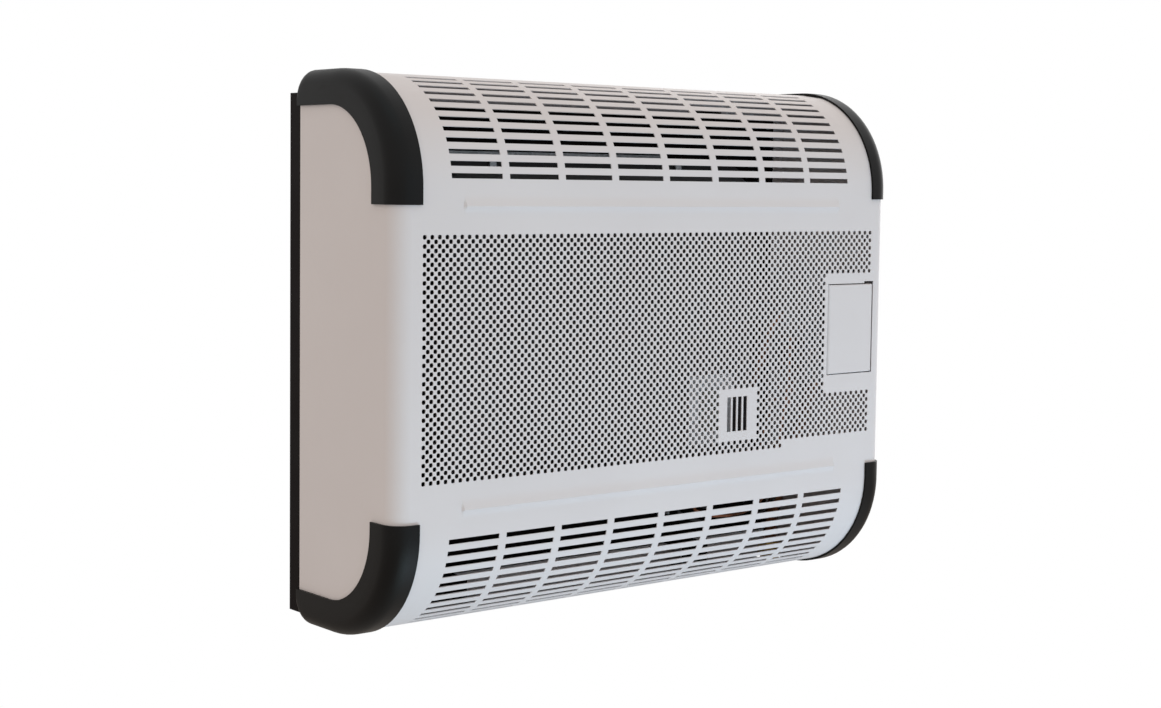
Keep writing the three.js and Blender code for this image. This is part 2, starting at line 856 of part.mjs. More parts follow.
function chamberRearShell() {
  const round = chamberRound;
  const start = rearRimY - chamberRearDepth;
  const outer = tub(start, chamberRearY, 0, round);
  const inner = tub(start, chamberRearY - chamberWall, -chamberWall, round - chamberWall);
  const flange = rim(rearRimY, rearRimY + chamberWall);
  const exhaust = rod(
    'y',
    exhaustRadius + flueWall + gap,
    chamberRearY - chamberWall - through,
    chamberRearY + through,
    flueX,
    flueZ,
    flueSides,
  );
  const airSlot = blockAt(
    flueX,
    chamberRearY - chamberWall - through,
    chamberRearY + through,
    airSlotZ,
    airSlotWidth,
    airSlotHeight,
  );
  const front = block(
    chamberLeft - 2 * chamberFlange,
    chamberRight + 2 * chamberFlange,
    rearRimY - 2 * chamberRearDepth,
    rearRimY,
    chamberBottom - 2 * chamberFlange,
    chamberBottom + chamberHeight + 2 * chamberFlange,
  );
  const injectorHole = rod(
    'x',
    injectorRadius + gap,
    chamberRight - chamberWall - through,
    chamberRight + through,
    burnerY,
    burnerZ,
    12,
  );
  const holes = boltHoles(rearRimY, rearRimY + chamberWall);
  return cut(join(outer, flange), inner, front, exhaust, airSlot, injectorHole, ...holes);
}

function chamberFrontShell() {
  const round = chamberRound;
  const outer = tub(chamberFrontY, frontRimY + chamberFrontDepth, 0, round);
  const inner = tub(
    chamberFrontY + chamberWall,
    frontRimY + chamberFrontDepth,
    -chamberWall,
    round - chamberWall,
  );
  const flange = rim(frontRimY - chamberWall, frontRimY);
  const back = block(
    chamberLeft - 2 * chamberFlange,
    chamberRight + 2 * chamberFlange,
    frontRimY,
    frontRimY + 2 * chamberFrontDepth,
    chamberBottom - 2 * chamberFlange,
    chamberBottom + chamberHeight + 2 * chamberFlange,
  );
  const view = blockAt(
    windowX,
    chamberFrontY - through,
    chamberFrontY + chamberWall + through,
    windowZ,
    glassView,
    glassViewHeight,
  );
  const ports = pilotPlaces().map(([x, radius]) => (
    rod('z', radius + gap, chamberBottom - through, chamberBottom + chamberWall + through, x, pilotY, 10)
  ));
  const holes = boltHoles(frontRimY - chamberWall, frontRimY);
  return cut(join(outer, flange), inner, back, view, ...ports, ...holes);
}

function chamberGasket() {
  const y1 = rearRimY - gap;
  const y0 = y1 - gasketThickness;
  const width = chamberWidth - 2 * chamberWall;
  const height = chamberHeight - 2 * chamberWall;
  const middle = roundedPlate(chamberX, chamberZ, width, height, chamberCorner, y0 - through, y1 + through);
  return cut(rim(y0, y1), middle, ...boltHoles(y0, y1));
}

function chamberScrew(x, z) {
  const headFront = frontRimY - chamberWall - gap - screwHead;
  const tail = rearRimY + chamberWall + screwTail;
  return join(
    rod('y', screwHeadRadius, headFront, headFront + screwHead, x, z, 6),
    rod('y', screwRadius, headFront + screwHead / 2, tail, x, z, 6),
  );
}

// Brackets that carry the chamber's rear flange from the wall frame's back plate
function chamberBracket(side) {
  const outer = chamberX + side * (chamberWidth / 2 + chamberFlange - gap);
  const inner = outer - side * (chamberFlange - 2 * gap);
  const plate = outer - side * frameSheet;
  const foot = outer - side * 2 * chamberFlange;
  const y0 = rearRimY + chamberWall + gap;
  const y1 = -frameSheet - gap;
  const points = [
    [outer, y0],
    [inner, y0],
    [inner, y0 + frameSheet],
    [plate, y0 + frameSheet],
    [plate, y1 - frameSheet],
    [foot, y1 - frameSheet],
    [foot, y1],
    [outer, y1],
  ].map(([x, y]) => new THREE.Vector2(x, y));
  const bracket = alongZ(points, chamberZ - bracketHeight / 2, chamberZ + bracketHeight / 2);
  const boltX = chamberX + side * (chamberWidth / 2 + chamberFlange / 2);
  return cut(bracket, rod('y', screwRadius + gap, y0 - through, y0 + through, boltX, chamberZ, 6));
}

// Coaxial flue: exhaust tube, air box and air collar
function exhaustTube() {
  const y0 = chamberRearY - chamberWall - exhaustReach;
  const outer = exhaustRadius + flueWall;
  const tube = rod('y', outer, y0, 0, flueX, flueZ, flueSides);
  const flangeY = chamberRearY + gap;
  const flange = rod('y', outer + exhaustFlange, flangeY, flangeY + flueWall, flueX, flueZ, flueSides);
  return cut(join(tube, flange), rod('y', exhaustRadius, y0 - through, through, flueX, flueZ, flueSides));
}

function airBox() {
  const y0 = chamberRearY + gap;
  const y1 = y0 + airBoxDepth;
  const z = (airBoxTop + airBoxBottom) / 2;
  const height = airBoxTop - airBoxBottom;
  const corner = 2 * chamberRound;
  const inner = roundedPlate(
    flueX,
    z,
    airBoxWidth - 2 * flueWall,
    height - 2 * flueWall,
    corner - flueWall,
    y0 - through,
    y1 - flueWall,
  );
  const flangeWidth = airBoxWidth + 2 * exhaustFlange;
  const flange = roundedPlate(flueX, z, flangeWidth, height + 2 * exhaustFlange, corner, y0, y0 + flueWall);
  const holeRadius = airRadius + flueWall + gap;
  const holeFront = y1 - flueWall - through;
  const hole = rod('y', holeRadius, holeFront, y1 + through, flueX, flueZ, flueSides);
  const walls = roundedPlate(flueX, z, airBoxWidth, height, corner, y0, y1);
  return cut(join(walls, flange), inner, hole);
}

function airCollar() {
  const boxRear = chamberRearY + gap + airBoxDepth;
  const outer = airRadius + flueWall;
  const seatY = boxRear + gap;
  const tube = rod('y', outer, boxRear - flueWall - collarReach, 0, flueX, flueZ, flueSides);
  const seat = rod('y', outer + collarFlange / 2, seatY, seatY + flueWall, flueX, flueZ, flueSides);
  const wallFlange = rod('y', outer + collarFlange, -frameSheet, 0, flueX, flueZ, flueSides);
  return cut(
    join(tube, seat, wallFlange),
    rod('y', airRadius, boxRear - flueWall - through, through, flueX, flueZ, flueSides),
  );
}

// Burner: a closed tube with flame ports along its top
function mainBurner() {
  const left = burnerX - burnerLength / 2;
  const right = burnerX + burnerLength / 2;
  const tube = rod('x', burnerRadius, left, right, burnerY, burnerZ, 12);
  const bore = rod(
    'x',
    burnerRadius - burnerWall,
    left + burnerWall,
    right + through,
    burnerY,
    burnerZ,
    12,
  );
  const ports = [];
  for (let port = 0; port < burnerPorts; port += 1) {
    const x = burnerX + (port - (burnerPorts - 1) / 2) * burnerPortPitch;
    ports.push(block(
      x - burnerPortWidth / 2,
      x + burnerPortWidth / 2,
      burnerY - burnerPortLength / 2,
      burnerY + burnerPortLength / 2,
      burnerZ,
      burnerZ + burnerRadius + through,
    ));
  }
  return cut(tube, bore, ...ports);
}

function burnerSupport(side) {
  const x = burnerX + side * (burnerLength / 2 - burnerSupportInset);
  const rear = chamberRearY - chamberWall - gap;
  const half = burnerRadius + burnerSupportMargin;
  const sheetHalf = burnerSupportSheet / 2;
  const zs = [burnerZ - half, burnerZ + half];
  const plate = block(x - sheetHalf, x + sheetHalf, burnerY - half, rear, ...zs);
  const foot = block(x - sheetHalf, x + half, rear - burnerSupportSheet, rear, ...zs);
  const hole = rod('x', burnerRadius + gap, x - through, x + through, burnerY, burnerZ, 12);
  return cut(join(plate, foot), hole);
}

function injectorEnd() {
  return chamberRight + injectorReach;
}

function burnerInjector() {
  const burnerEnd = burnerX + burnerLength / 2;
  const nozzleEnd = burnerEnd - nozzleReach;
  const nozzle = rod('x', injectorNozzleRadius, nozzleEnd, chamberRight, burnerY, burnerZ, 12);
  const body = rod(
    'x',
    injectorRadius,
    chamberRight - chamberWall - injectorInside,
    injectorEnd(),
    burnerY,
    burnerZ,
    12,
  );
  const hexEnd = chamberRight + injectorHexLength;
  const hex = rod('x', injectorHexRadius, chamberRight + gap, hexEnd, burnerY, burnerZ, 6);
  return join(nozzle, body, hex);
}

// Pilot group: electrode, pilot jet and flame probe, in a row on one plate
function pilotPlaces() {
  return [
    [windowX - pilotPitch, electrodeRadius],
    [windowX, pilotRadius],
    [windowX + pilotPitch, probeRadius],
  ];
}

function pilotPlate() {
  const plate = block(
    windowX - pilotPlateWidth / 2,
    windowX + pilotPlateWidth / 2,
    pilotY - pilotPlateDepth / 2,
    pilotY + pilotPlateDepth / 2,
    pilotPlateBottom,
    pilotPlateTop,
  );
  const holes = pilotPlaces().map(([x, radius]) => (
    rod('z', radius + gap, pilotPlateBottom - through, pilotPlateTop + through, x, pilotY, 10)
  ));
  return cut(plate, ...holes);
}

function pilotStem(place, top) {
  const [x, radius] = pilotPlaces()[place];
  const stem = rod('z', radius, pilotTailZ, top, x, pilotY, 10);
  const seat = pilotPlateBottom - gap;
  return join(stem, rod('z', radius + pilotCollarReach, seat - pilotCollar, seat, x, pilotY, 10));
}

function pilotBurner() {
  const [x, radius] = pilotPlaces()[1];
  const reach = radius + hoodReach;
  const hood = block(x - reach, x + reach, pilotY - reach, pilotY + reach, pilotTop, pilotTop + hoodHeight);
  return join(pilotStem(1, pilotTop + hoodHeight / 2), hood);
}

function ignitionElectrode() {
  const [x] = pilotPlaces()[0];
  const tipTop = pilotTop + electrodeTipRise;
  const insulatorTop = tipTop - electrodeTipLength;
  const tip = rod('z', electrodeTipRadius, insulatorTop - tipSeat, tipTop, x, pilotY, 8);
  return join(pilotStem(0, insulatorTop), tip);
}

// Sight glass and its rim, on the chamber's front
function sightGlass() {
  const y1 = chamberFrontY - gap;
  return blockAt(windowX, y1 - glassThickness, y1, windowZ, glassWidth, glassHeight);
}

function sightGlassRim() {
  const y1 = chamberFrontY - gap;
  const pocketY = y1 - glassThickness - gap;
  const rimBody = blockAt(
    windowX,
    pocketY - glassRimSheet,
    y1,
    windowZ,
    glassWidth + 2 * glassRim,
    glassHeight + 2 * glassRim,
  );
  const pocket = blockAt(
    windowX,
    pocketY,
    y1 + through,
    windowZ,
    glassWidth + 2 * gap,
    glassHeight + 2 * gap,
  );
  const view = blockAt(windowX, pocketY - through, y1 + through, windowZ, glassView, glassViewHeight);
  return cut(rimBody, pocket, view);
}

// Controls
function controlPanel() {
  const left = doorLeft - panelMargin;
  const right = doorRight + panelMargin;
  const bottom = doorBottom - panelMargin;
  const top = doorTop + panelMargin;
  const face = block(left, right, panelY, panelY + panelSheet, bottom, top);
  const rear = backY - sheet - gap;
  const wing = block(right - panelSheet, right, panelY, rear, bottom, top);
  const foot = block(right - panelSheet, halfWidth - sheet - gap, rear - panelSheet, rear, bottom, top);
  const ys = [panelY - through, panelY + through];
  const stemHole = rod('y', stemRadius + stemPanelGap, ...ys, knobX, knobZ, 16);
  const igniterHole = rod('y', igniterRadius + gap, ...ys, buttonX, buttonZ, 16);
  return cut(join(face, wing, foot), stemHole, igniterHole);
}

function stemRear() {
  return valveY + stemInValve;
}

function gasValve() {
  const c = valveChamfer;
  const left = knobX - valveWidth / 2;
  const right = knobX + valveWidth / 2;
  const rear = valveY + valveDepth;
  const plan = [
    [left, valveY],
    [right, valveY],
    [right, rear - c],
    [right - c, rear],
    [left + c, rear],
    [left, rear - c],
  ].map(([x, y]) => new THREE.Vector2(x, y));
  const body = alongZ(plan, valveBottom(), knobZ + valveAbove);
  const boss = rod('y', valveBossRadius, valveY - valveBossHeight, valveY + c, knobX, knobZ, 20);
  const port = rod('z', valvePortRadius, portBottom(), valveBottom() + c, inletX, valveMiddleY(), 12);
  const outletRadius = supplyPipeRadius + outletWall;
  const outlet = rod('x', outletRadius, outletEnd(), left + c, valveMiddleY(), outletZ(), 12);
  const bore = rod(
    'y',
    stemRadius + runningGap,
    valveY - valveBossHeight - through,
    stemRear() + stemTravel + endPlay,
    knobX,
    knobZ,
    16,
  );
  return cut(join(body, boss, port, outlet), bore);
}

function valveMiddleY() {
  return valveY + valveDepth / 2;
}

function valveBottom() {
  return knobZ - valveBelow;
}

function portBottom() {
  return valveBottom() - valvePortLength;
}

function outletEnd() {
  return knobX - valveWidth / 2 - valvePortLength;
}

function outletZ() {
  return valveBottom() + outletRise;
}

function valveBracket() {
  const rear = valveY + valveDepth + gap;
  const foot = -frameSheet - gap;
  const left = knobX - valveWidth / 4;
  const right = knobX + valveWidth / 4;
  const bottom = valveBottom() + valveBracketInset;
  const top = knobZ + valveAbove - valveBracketInset;
  const face = block(left, right, rear, rear + panelSheet, bottom, top);
  const arm = block(left, left + panelSheet, rear, foot, bottom, top);
  const base = block(left, right, foot - panelSheet, foot, bottom, top);
  return join(face, arm, base);
}

function controlStem() {
  const knobRear = frontY + knobFront + knobDepth;
  return rod('y', stemRadius, knobRear - stemInKnob, stemRear(), knobX, knobZ, 16);
}

function controlKnob() {
  const front = frontY + knobFront;
  const rear = front + knobDepth;
  const face = [
    new THREE.Vector2(0, 0),
    new THREE.Vector2(knobRadius, 0),
    new THREE.Vector2(knobRadius, knobDish - knobBevel),
    new THREE.Vector2(knobRadius - knobBevel, knobDish),
    new THREE.Vector2(0, knobDish),
  ];
  const lathe = new THREE.LatheGeometry(face, 20);
  lathe.rotateX(Math.PI);
  lathe.translate(knobX, rear, knobZ);
  const gripLength = 2 * (knobRadius - knobGripInset);
  const grip = blockAt(knobX, front, rear - knobDish / 2, knobZ, knobGripWidth, gripLength);
  const socket = rod(
    'y',
    stemRadius + runningGap,
    rear - stemInKnob - runningGap,
    rear + through,
    knobX,
    knobZ,
    16,
  );
  return cut(join(toSolid(lathe), grip), socket);
}

function igniterBody() {
  const collarFront = panelY - gap - igniterCollar;
  const rear = panelY + igniterLength;
  const barrel = rod('y', igniterRadius, collarFront + igniterCollar / 2, rear, buttonX, buttonZ, 16);
  const collar = rod('y', igniterCollarRadius, collarFront, panelY - gap, buttonX, buttonZ, 16);
  const bore = rod(
    'y',
    buttonRadius + runningGap,
    collarFront - through,
    rear - igniterEnd,
    buttonX,
    buttonZ,
    16,
  );
  return cut(join(barrel, collar), bore);
}

function igniterButton() {
  const collarFront = panelY - gap - igniterCollar;
  const rear = panelY + igniterLength - igniterEnd - buttonTravel - endPlay;
  return rod('y', buttonRadius, collarFront - buttonProud, rear, buttonX, buttonZ, 16);
}

function doorMagnet() {
  const x = doorRight - magnetInset;
  const z = doorTop - magnetInset;
  return rod('y', magnetRadius, frontY + doorSheet + gap, panelY - gap, x, z, 12);
}

// Baffle in front of the exhaust, and the heat shield behind the chamber
function exhaustBaffle() {
  const rear = chamberRearY - chamberWall - gap;
  const front = rear - baffleStand;
  const reach = baffleWidth / 2;
  const half = [
    [reach, front],
    [reach, rear - baffleSheet],
    [reach + baffleFoot, rear - baffleSheet],
    [reach + baffleFoot, rear],
    [reach - baffleSheet, rear],
    [reach - baffleSheet, front + baffleSheet],
  ];
  const right = half.map(([x, y]) => [flueX + x, y]);
  const left = half.map(([x, y]) => [flueX - x, y]).reverse();
  const outline = [...right, ...left];
  const points = outline.map(([x, y]) => new THREE.Vector2(x, y));
  return alongZ(points, flueZ - baffleHeight / 2, flueZ + baffleHeight / 2);
}

function heatShield() {
  const front = -shieldFromWall - shieldSheet;
  const plate = blockAt(chamberX, front, -shieldFromWall, 0, shieldWidth, shieldHeight);
  const holeRadius = airRadius + flueWall + shieldHoleGap;
  const hole = rod('y', holeRadius, front - through, through, flueX, flueZ, flueSides);
  const footX = shieldWidth / 2 - chamberCorner;
  const footZ = shieldHeight / 2 - chamberCorner;
  const feet = [[1, 1], [1, -1], [-1, 1], [-1, -1]].map(([x, z]) => rod(
    'y',
    shieldFootRadius,
    front + shieldSheet / 2,
    -frameSheet - gap,
    chamberX + x * footX,
    z * footZ,
    8,
  ));
  return cut(join(plate, ...feet), hole);
}

// Pipes and leads
function gasInletPipe() {
  const top = portBottom() - gap;
  const floor = -halfHeight - unionProud;
  const straight = floor + unionLength;
  return pipe(
    [
      [inletX, valveMiddleY(), top],
      [inletX, valveMiddleY(), top - inletPipeRadius * 3],
      [inletX, (valveMiddleY() + inletY) / 2, (top + straight) / 2],
      [inletX, inletY, straight + inletPipeRadius * 3],
      [inletX, inletY, straight + gap],
      [inletX, inletY, floor],
    ],
    inletPipeRadius,
    inletPipeRadius - pipeWall,
    8,
    10,
  );
}

function gasInletUnion() {
  const floor = -halfHeight - unionProud;
  const hex = rod('z', unionRadius, floor, floor + unionLength, inletX, inletY, 6);
  const bore = inletPipeRadius + gap;
  return cut(hex, rod('z', bore, floor - through, floor + unionLength + through, inletX, inletY, 16));
}

function burnerSupplyPipe() {
  const x0 = injectorEnd() + gap;
  const x1 = outletEnd() - gap;
  return pipe(
    [
      [x0, burnerY, burnerZ],
      [x0 + supplyPipeRadius, burnerY, burnerZ],
      [(x0 + x1) / 2 + 1, (burnerY + valveMiddleY()) / 2, (burnerZ + outletZ()) / 2],
      [x1 - supplyPipeRadius, valveMiddleY(), outletZ()],
      [x1, valveMiddleY(), outletZ()],
    ],
    supplyPipeRadius,
    supplyPipeRadius - pipeWall,
    8,
    9,
  );
}

function pilotPipe() {
  const end = valveBottom() - gap;
  return pipe(
    [
      [windowX, pilotY, pilotTailZ - gap],
      [windowX, pilotY, pilotTailZ - leadDrop / 2],
      [windowX + 20, pilotY - 8, pilotTailZ - leadDrop],
      [chamberRight + 25, pilotY - 10, pilotTailZ - leadDrop * 0.6],
      [knobX - 26, valveMiddleY(), (end + pilotTailZ) / 2],
      [knobX - 19, valveMiddleY(), end - 30],
      [knobX - 19, valveMiddleY(), end],
    ],
    pilotPipeRadius,
    0,
    6,
    14,
  );
}

function thermocouple() {
  const [x] = pilotPlaces()[2];
  const end = valveBottom() - gap;
  const lead = pipe(
    [
      [x, pilotY, pilotTailZ + tipSeat],
      [x, pilotY, pilotTailZ - 6],
      [x + 12, pilotY - 1, pilotTailZ - 10],
      [chamberRight + 15, pilotY - 4, pilotTailZ - 5],
      [chamberRight + 45, pilotY - 4, pilotTailZ + 35],
      [knobX - 10, valveMiddleY() + 5, end - 50],
      [knobX - 8, valveMiddleY() + 5, end],
    ],
    capillaryRadius,
    0,
    6,
    14,
  );
  return join(pilotStem(2, pilotTop + probeRise), lead);
}

function ignitionLead() {
  const [x] = pilotPlaces()[0];
  const rear = panelY + igniterLength;
  const low = pilotTailZ - leadDrop - 8;
  return pipe(
    [
      [buttonX, rear + gap, buttonZ],
      [buttonX, rear + 8, buttonZ - 1],
      [buttonX - 3, rear + 13, buttonZ - 12],
      [buttonX - 6, rear + 12, (buttonZ + pilotTailZ) / 2],
      [buttonX - 16, pilotY - 3, pilotTailZ],
      [chamberRight + 25, pilotY - 6, low + 2],
      [windowX + 29, pilotY - 6, low],
      [x + 11, pilotY - 2, low + 8],
      [x, pilotY, pilotTailZ - 12],
      [x, pilotY, pilotTailZ - gap],
    ],
    leadRadius,
    0,
    6,
    18,
  );
}

// Thermostat: a bulb in two clips on the chamber's lower flange
function bulbZ() {
  return chamberBottom - chamberFlange - bulbDrop;
}

function bulbY() {
  return (rearRimY + frontRimY) / 2;
}

function thermostatBulb() {
  return rod('x', bulbRadius, bulbX, bulbX + bulbLength, bulbY(), bulbZ(), 10);
}

function bulbClip(x) {
  const front = frontRimY - chamberWall - gap;
  const rear = rearRimY + chamberWall + gap;
  const edge = chamberBottom - chamberFlange;
  const low = bulbZ() - bulbRadius - clipSheet;
  const half = clipSheet / 2;
  const plate = block(x - half, x + half, front - clipSheet, rear + clipSheet, low, edge + clipGrip);
  const slot = block(x - clipSheet, x + clipSheet, front, rear, edge - gap, edge + clipGrip + through);
  const hole = rod('x', bulbRadius + gap, x - clipSheet, x + clipSheet, bulbY(), bulbZ(), 10);
  return cut(plate, slot, hole);
}

function thermostatCapillary() {
  const start = bulbX + bulbLength + gap;
  const end = valveBottom() - gap;
  return pipe(
    [
      [start, bulbY(), bulbZ()],
      [start + 10, bulbY(), bulbZ()],
      [chamberRight + 30, bulbY() - 4, bulbZ() + 25],
      [chamberRight + 48, bulbY() - 4, bulbZ() + 70],
      [knobX - 15, valveMiddleY() + 15, end - 40],
      [knobX - 15, valveMiddleY() + 15, end],
    ],
    capillaryRadius,
    0,
    6,
    14,
  );
}

const group = new THREE.Group();

function add(name, solid, material) {
  const mesh = new THREE.Mesh(toGeometry(solid), material);
  mesh.name = name;
  group.add(mesh);
}

add('front_casing', frontCasing(), whitePaint);
add('corner_trim_upper_left', cornerTrim(-1, 1), blackPlastic);
add('corner_trim_upper_right', cornerTrim(1, 1), blackPlastic);
add('corner_trim_lower_left', cornerTrim(-1, -1), blackPlastic);
add('corner_trim_lower_right', cornerTrim(1, -1), blackPlastic);
add('control_door', controlDoor(), whitePaint);
add('door_hinge_bracket', hingeBracket(), steel);
add('door_hinge_pin_upper', hingePin(1), steel);
add('door_hinge_pin_lower', hingePin(-1), steel);
add('door_magnet', doorMagnet(), blackPlastic);
add('wall_frame', wallFrame(), blackPaint);
add('casing_screw_left', casingScrew(-footX), steel);
add('casing_screw_right', casingScrew(footX), steel);
add('chamber_rear_shell', chamberRearShell(), enamel);
add('chamber_front_shell', chamberFrontShell(), enamel);
add('chamber_gasket', chamberGasket(), gasketGrey);
rimBolts().forEach(([x, z], index) => add(`chamber_screw_${index + 1}`, chamberScrew(x, z), steel));
add('chamber_bracket_left', chamberBracket(-1), steel);
add('chamber_bracket_right', chamberBracket(1), steel);
add('exhaust_tube', exhaustTube(), steel);
add('air_box', airBox(), steel);
add('air_collar', airCollar(), steel);
add('main_burner', mainBurner(), steel);
add('burner_support_left', burnerSupport(-1), steel);
add('burner_support_right', burnerSupport(1), steel);
add('burner_injector', burnerInjector(), brass);
add('pilot_plate', pilotPlate(), steel);
add('pilot_burner', pilotBurner(), brass);
add('ignition_electrode', ignitionElectrode(), ceramic);
add('thermocouple', thermocouple(), copper);
add('sight_glass', sightGlass(), glass);
add('sight_glass_rim', sightGlassRim(), steel);
add('control_panel', controlPanel(), steel);
add('gas_valve', gasValve(), castAluminium);
add('valve_bracket', valveBracket(), steel);
add('control_stem', controlStem(), brass);
add('control_knob', controlKnob(), blackPlastic);
add('igniter_body', igniterBody(), blackPlastic);
add('igniter_button', igniterButton(), buttonBlack);
add('gas_inlet_pipe', gasInletPipe(), copper);
add('gas_inlet_union', gasInletUnion(), brass);
add('burner_supply_pipe', burnerSupplyPipe(), copper);
add('pilot_pipe', pilotPipe(), copper);
add('ignition_lead', ignitionLead(), redSilicone);
add('thermostat_bulb', thermostatBulb(), copper);
add('bulb_clip_left', bulbClip(bulbX + clipInset), steel);
add('bulb_clip_right', bulbClip(bulbX + bulbLength - clipInset), steel);
add('thermostat_capillary', thermostatCapillary(), copper);
add('exhaust_baffle', exhaustBaffle(), steel);
add('heat_shield', heatShield(), steel);

export default group;
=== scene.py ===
import json
import math

import bmesh
import bpy
from mathutils import Matrix, Quaternion, Vector


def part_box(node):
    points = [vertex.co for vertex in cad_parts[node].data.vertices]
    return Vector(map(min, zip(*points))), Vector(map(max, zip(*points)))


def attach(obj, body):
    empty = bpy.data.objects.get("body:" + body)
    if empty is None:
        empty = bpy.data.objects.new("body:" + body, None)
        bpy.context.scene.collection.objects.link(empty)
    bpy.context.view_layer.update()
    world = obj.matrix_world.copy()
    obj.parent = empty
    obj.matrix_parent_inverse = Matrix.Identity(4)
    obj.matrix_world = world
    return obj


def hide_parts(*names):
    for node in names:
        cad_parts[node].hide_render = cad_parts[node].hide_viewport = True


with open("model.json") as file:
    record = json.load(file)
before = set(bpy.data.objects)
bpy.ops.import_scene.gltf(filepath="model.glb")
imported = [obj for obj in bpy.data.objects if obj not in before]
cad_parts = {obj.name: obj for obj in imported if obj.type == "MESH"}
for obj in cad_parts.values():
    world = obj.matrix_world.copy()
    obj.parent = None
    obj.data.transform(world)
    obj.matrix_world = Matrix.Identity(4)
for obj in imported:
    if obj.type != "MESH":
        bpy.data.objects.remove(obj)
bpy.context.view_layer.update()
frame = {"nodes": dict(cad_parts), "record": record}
mm = 0.001
hair = 0.01 * mm  # closer than this is the same place
slack = 0.1 * mm  # room for rounding, where a place is tested
print("frame loaded:", len(frame["nodes"]), "nodes")


# Camera, at the photograph's view

camera = {
    "place": (-1.1545, -1.4567, 0.1476),
    "lookAlong": (0.6314, 0.7722, -0.0708),
    "roll": 0.71,  # degrees
    "lens": 59.58,
    "shiftY": -0.0306,
}


def makeCamera():
    data = bpy.data.cameras.new("camera")
    data.sensor_width = 36
    data.lens = camera["lens"]
    data.shift_y = camera["shiftY"]
    data.clip_start = 0.01
    data.clip_end = 50
    shot = bpy.data.objects.new("camera", data)
    aim = Vector(camera["lookAlong"]).to_track_quat("-Z", "Y")
    roll = Quaternion((0, 0, 1), math.radians(camera["roll"]))
    shot.matrix_world = Matrix.Translation(camera["place"]) @ (aim @ roll).to_matrix().to_4x4()
    bpy.context.scene.collection.objects.link(shot)
    bpy.context.scene.camera = shot


makeCamera()
print("camera made")


# Materials


class Signal:  # a socket's value, for sums on values

    def __init__(self, wiring, socket):
        self.wiring = wiring
        self.socket = socket

    def maths(self, operation, first, second):
        return self.wiring.node("ShaderNodeMath", {"operation": operation}, {0: first, 1: second})

    def __add__(self, other):
        return self.maths("ADD", self, other)

    def __radd__(self, other):
        return self.maths("ADD", other, self)

    def __mul__(self, other):
        return self.maths("MULTIPLY", self, other)

    def __rmul__(self, other):
        return self.maths("MULTIPLY", other, self)

    def orMore(self, other):
        return self.maths("MAXIMUM", self, other)


class Wiring:  # a node tree that grows node by node

    def __init__(self, tree):
        self.tree = tree

    def node(self, kind, settings, values, output=0):
        made = self.tree.nodes.new(kind)
        for name, value in settings.items():
            if name == "stops":
                self.setStops(made.color_ramp, value)
            else:
                setattr(made, name, value)
        for socket, value in values.items():
            if isinstance(value, Signal):
                self.tree.links.new(value.socket, made.inputs[socket])
            else:
                made.inputs[socket].default_value = value
        return Signal(self, made.outputs[output])

    def setStops(self, ramp, stops):
        while len(ramp.elements) < len(stops):
            ramp.elements.new(0.5)
        for element, (position, shade) in zip(ramp.elements, stops):
            element.position = position
            element.color = (shade, shade, shade, 1)

    def mix(self, factor, first, second):
        settings = {"data_type": "RGBA", "blend_type": "MIX"}
        return self.node("ShaderNodeMix", settings, {0: factor, 6: first, 7: second}, 2)

    def feed(self, node, socket, value):
        self.tree.links.new(value.socket, self.tree.nodes[node].inputs[socket])


class Finish(Wiring):  # a material with one Principled shader

    def __init__(self, name, **constants):
        # constants are named after the shader's sockets, with _ for a space
        self.material = bpy.data.materials.new(name)
        self.material.use_nodes = True
        super().__init__(self.material.node_tree)
        shader = self.tree.nodes["Principled BSDF"]
        for socket, value in constants.items():
            shader.inputs[socket.replace("_", " ")].default_value = value
        self.place = self.node("ShaderNodeTexCoord", {}, {}, "Object")

    def noise(self, scale, detail=2, roughness=0.5, stretch=None):
        place = self.place
        if stretch:
            place = self.node("ShaderNodeMapping", {}, {"Vector": self.place, "Scale": stretch})
        values = {"Vector": place, "Scale": scale, "Detail": detail, "Roughness": roughness}
        return self.node("ShaderNodeTexNoise", {}, values, "Fac")

    def cells(self, scale, feature="F1", output="Distance"):
        values = {"Vector": self.place, "Scale": scale}
        return self.node("ShaderNodeTexVoronoi", {"feature": feature}, values, output)

    def ramp(self, value, *stops):
        return self.node("ShaderNodeValToRGB", {"stops": stops}, {"Fac": value})

    def drive(self, socket, value):
        self.feed("Principled BSDF", socket, value)

    def bump(self, height, strength, distance):
        values = {"Height": height, "Strength": strength, "Distance": distance}
        self.drive("Normal", self.node("ShaderNodeBump", {}, values))


def rgb(red, green, blue):
    # a colour as a screen shows it, from 0 to 255, made linear
    parts = [part / 255 for part in (red, green, blue)]
    return tuple(p / 12.92 if p <= 0.04045 else ((p + 0.055) / 1.055) ** 2.4 for p in parts) + (1,)


def whitePaint():
    # powder coat with a fine orange peel
    finish = Finish("whitePaint", Specular_IOR_Level=0.18)
    cloud = finish.noise(9, 3)
    finish.drive("Base Color", finish.mix(cloud, rgb(204, 202, 207), rgb(211, 210, 215)))
    finish.drive("Roughness", 0.4 + 0.14 * finish.noise(22, 4))
    peel = finish.noise(620, 2) + 0.45 * finish.noise(1900, 1)
    finish.bump(peel, 0.18, 0.00012)
    return finish.material


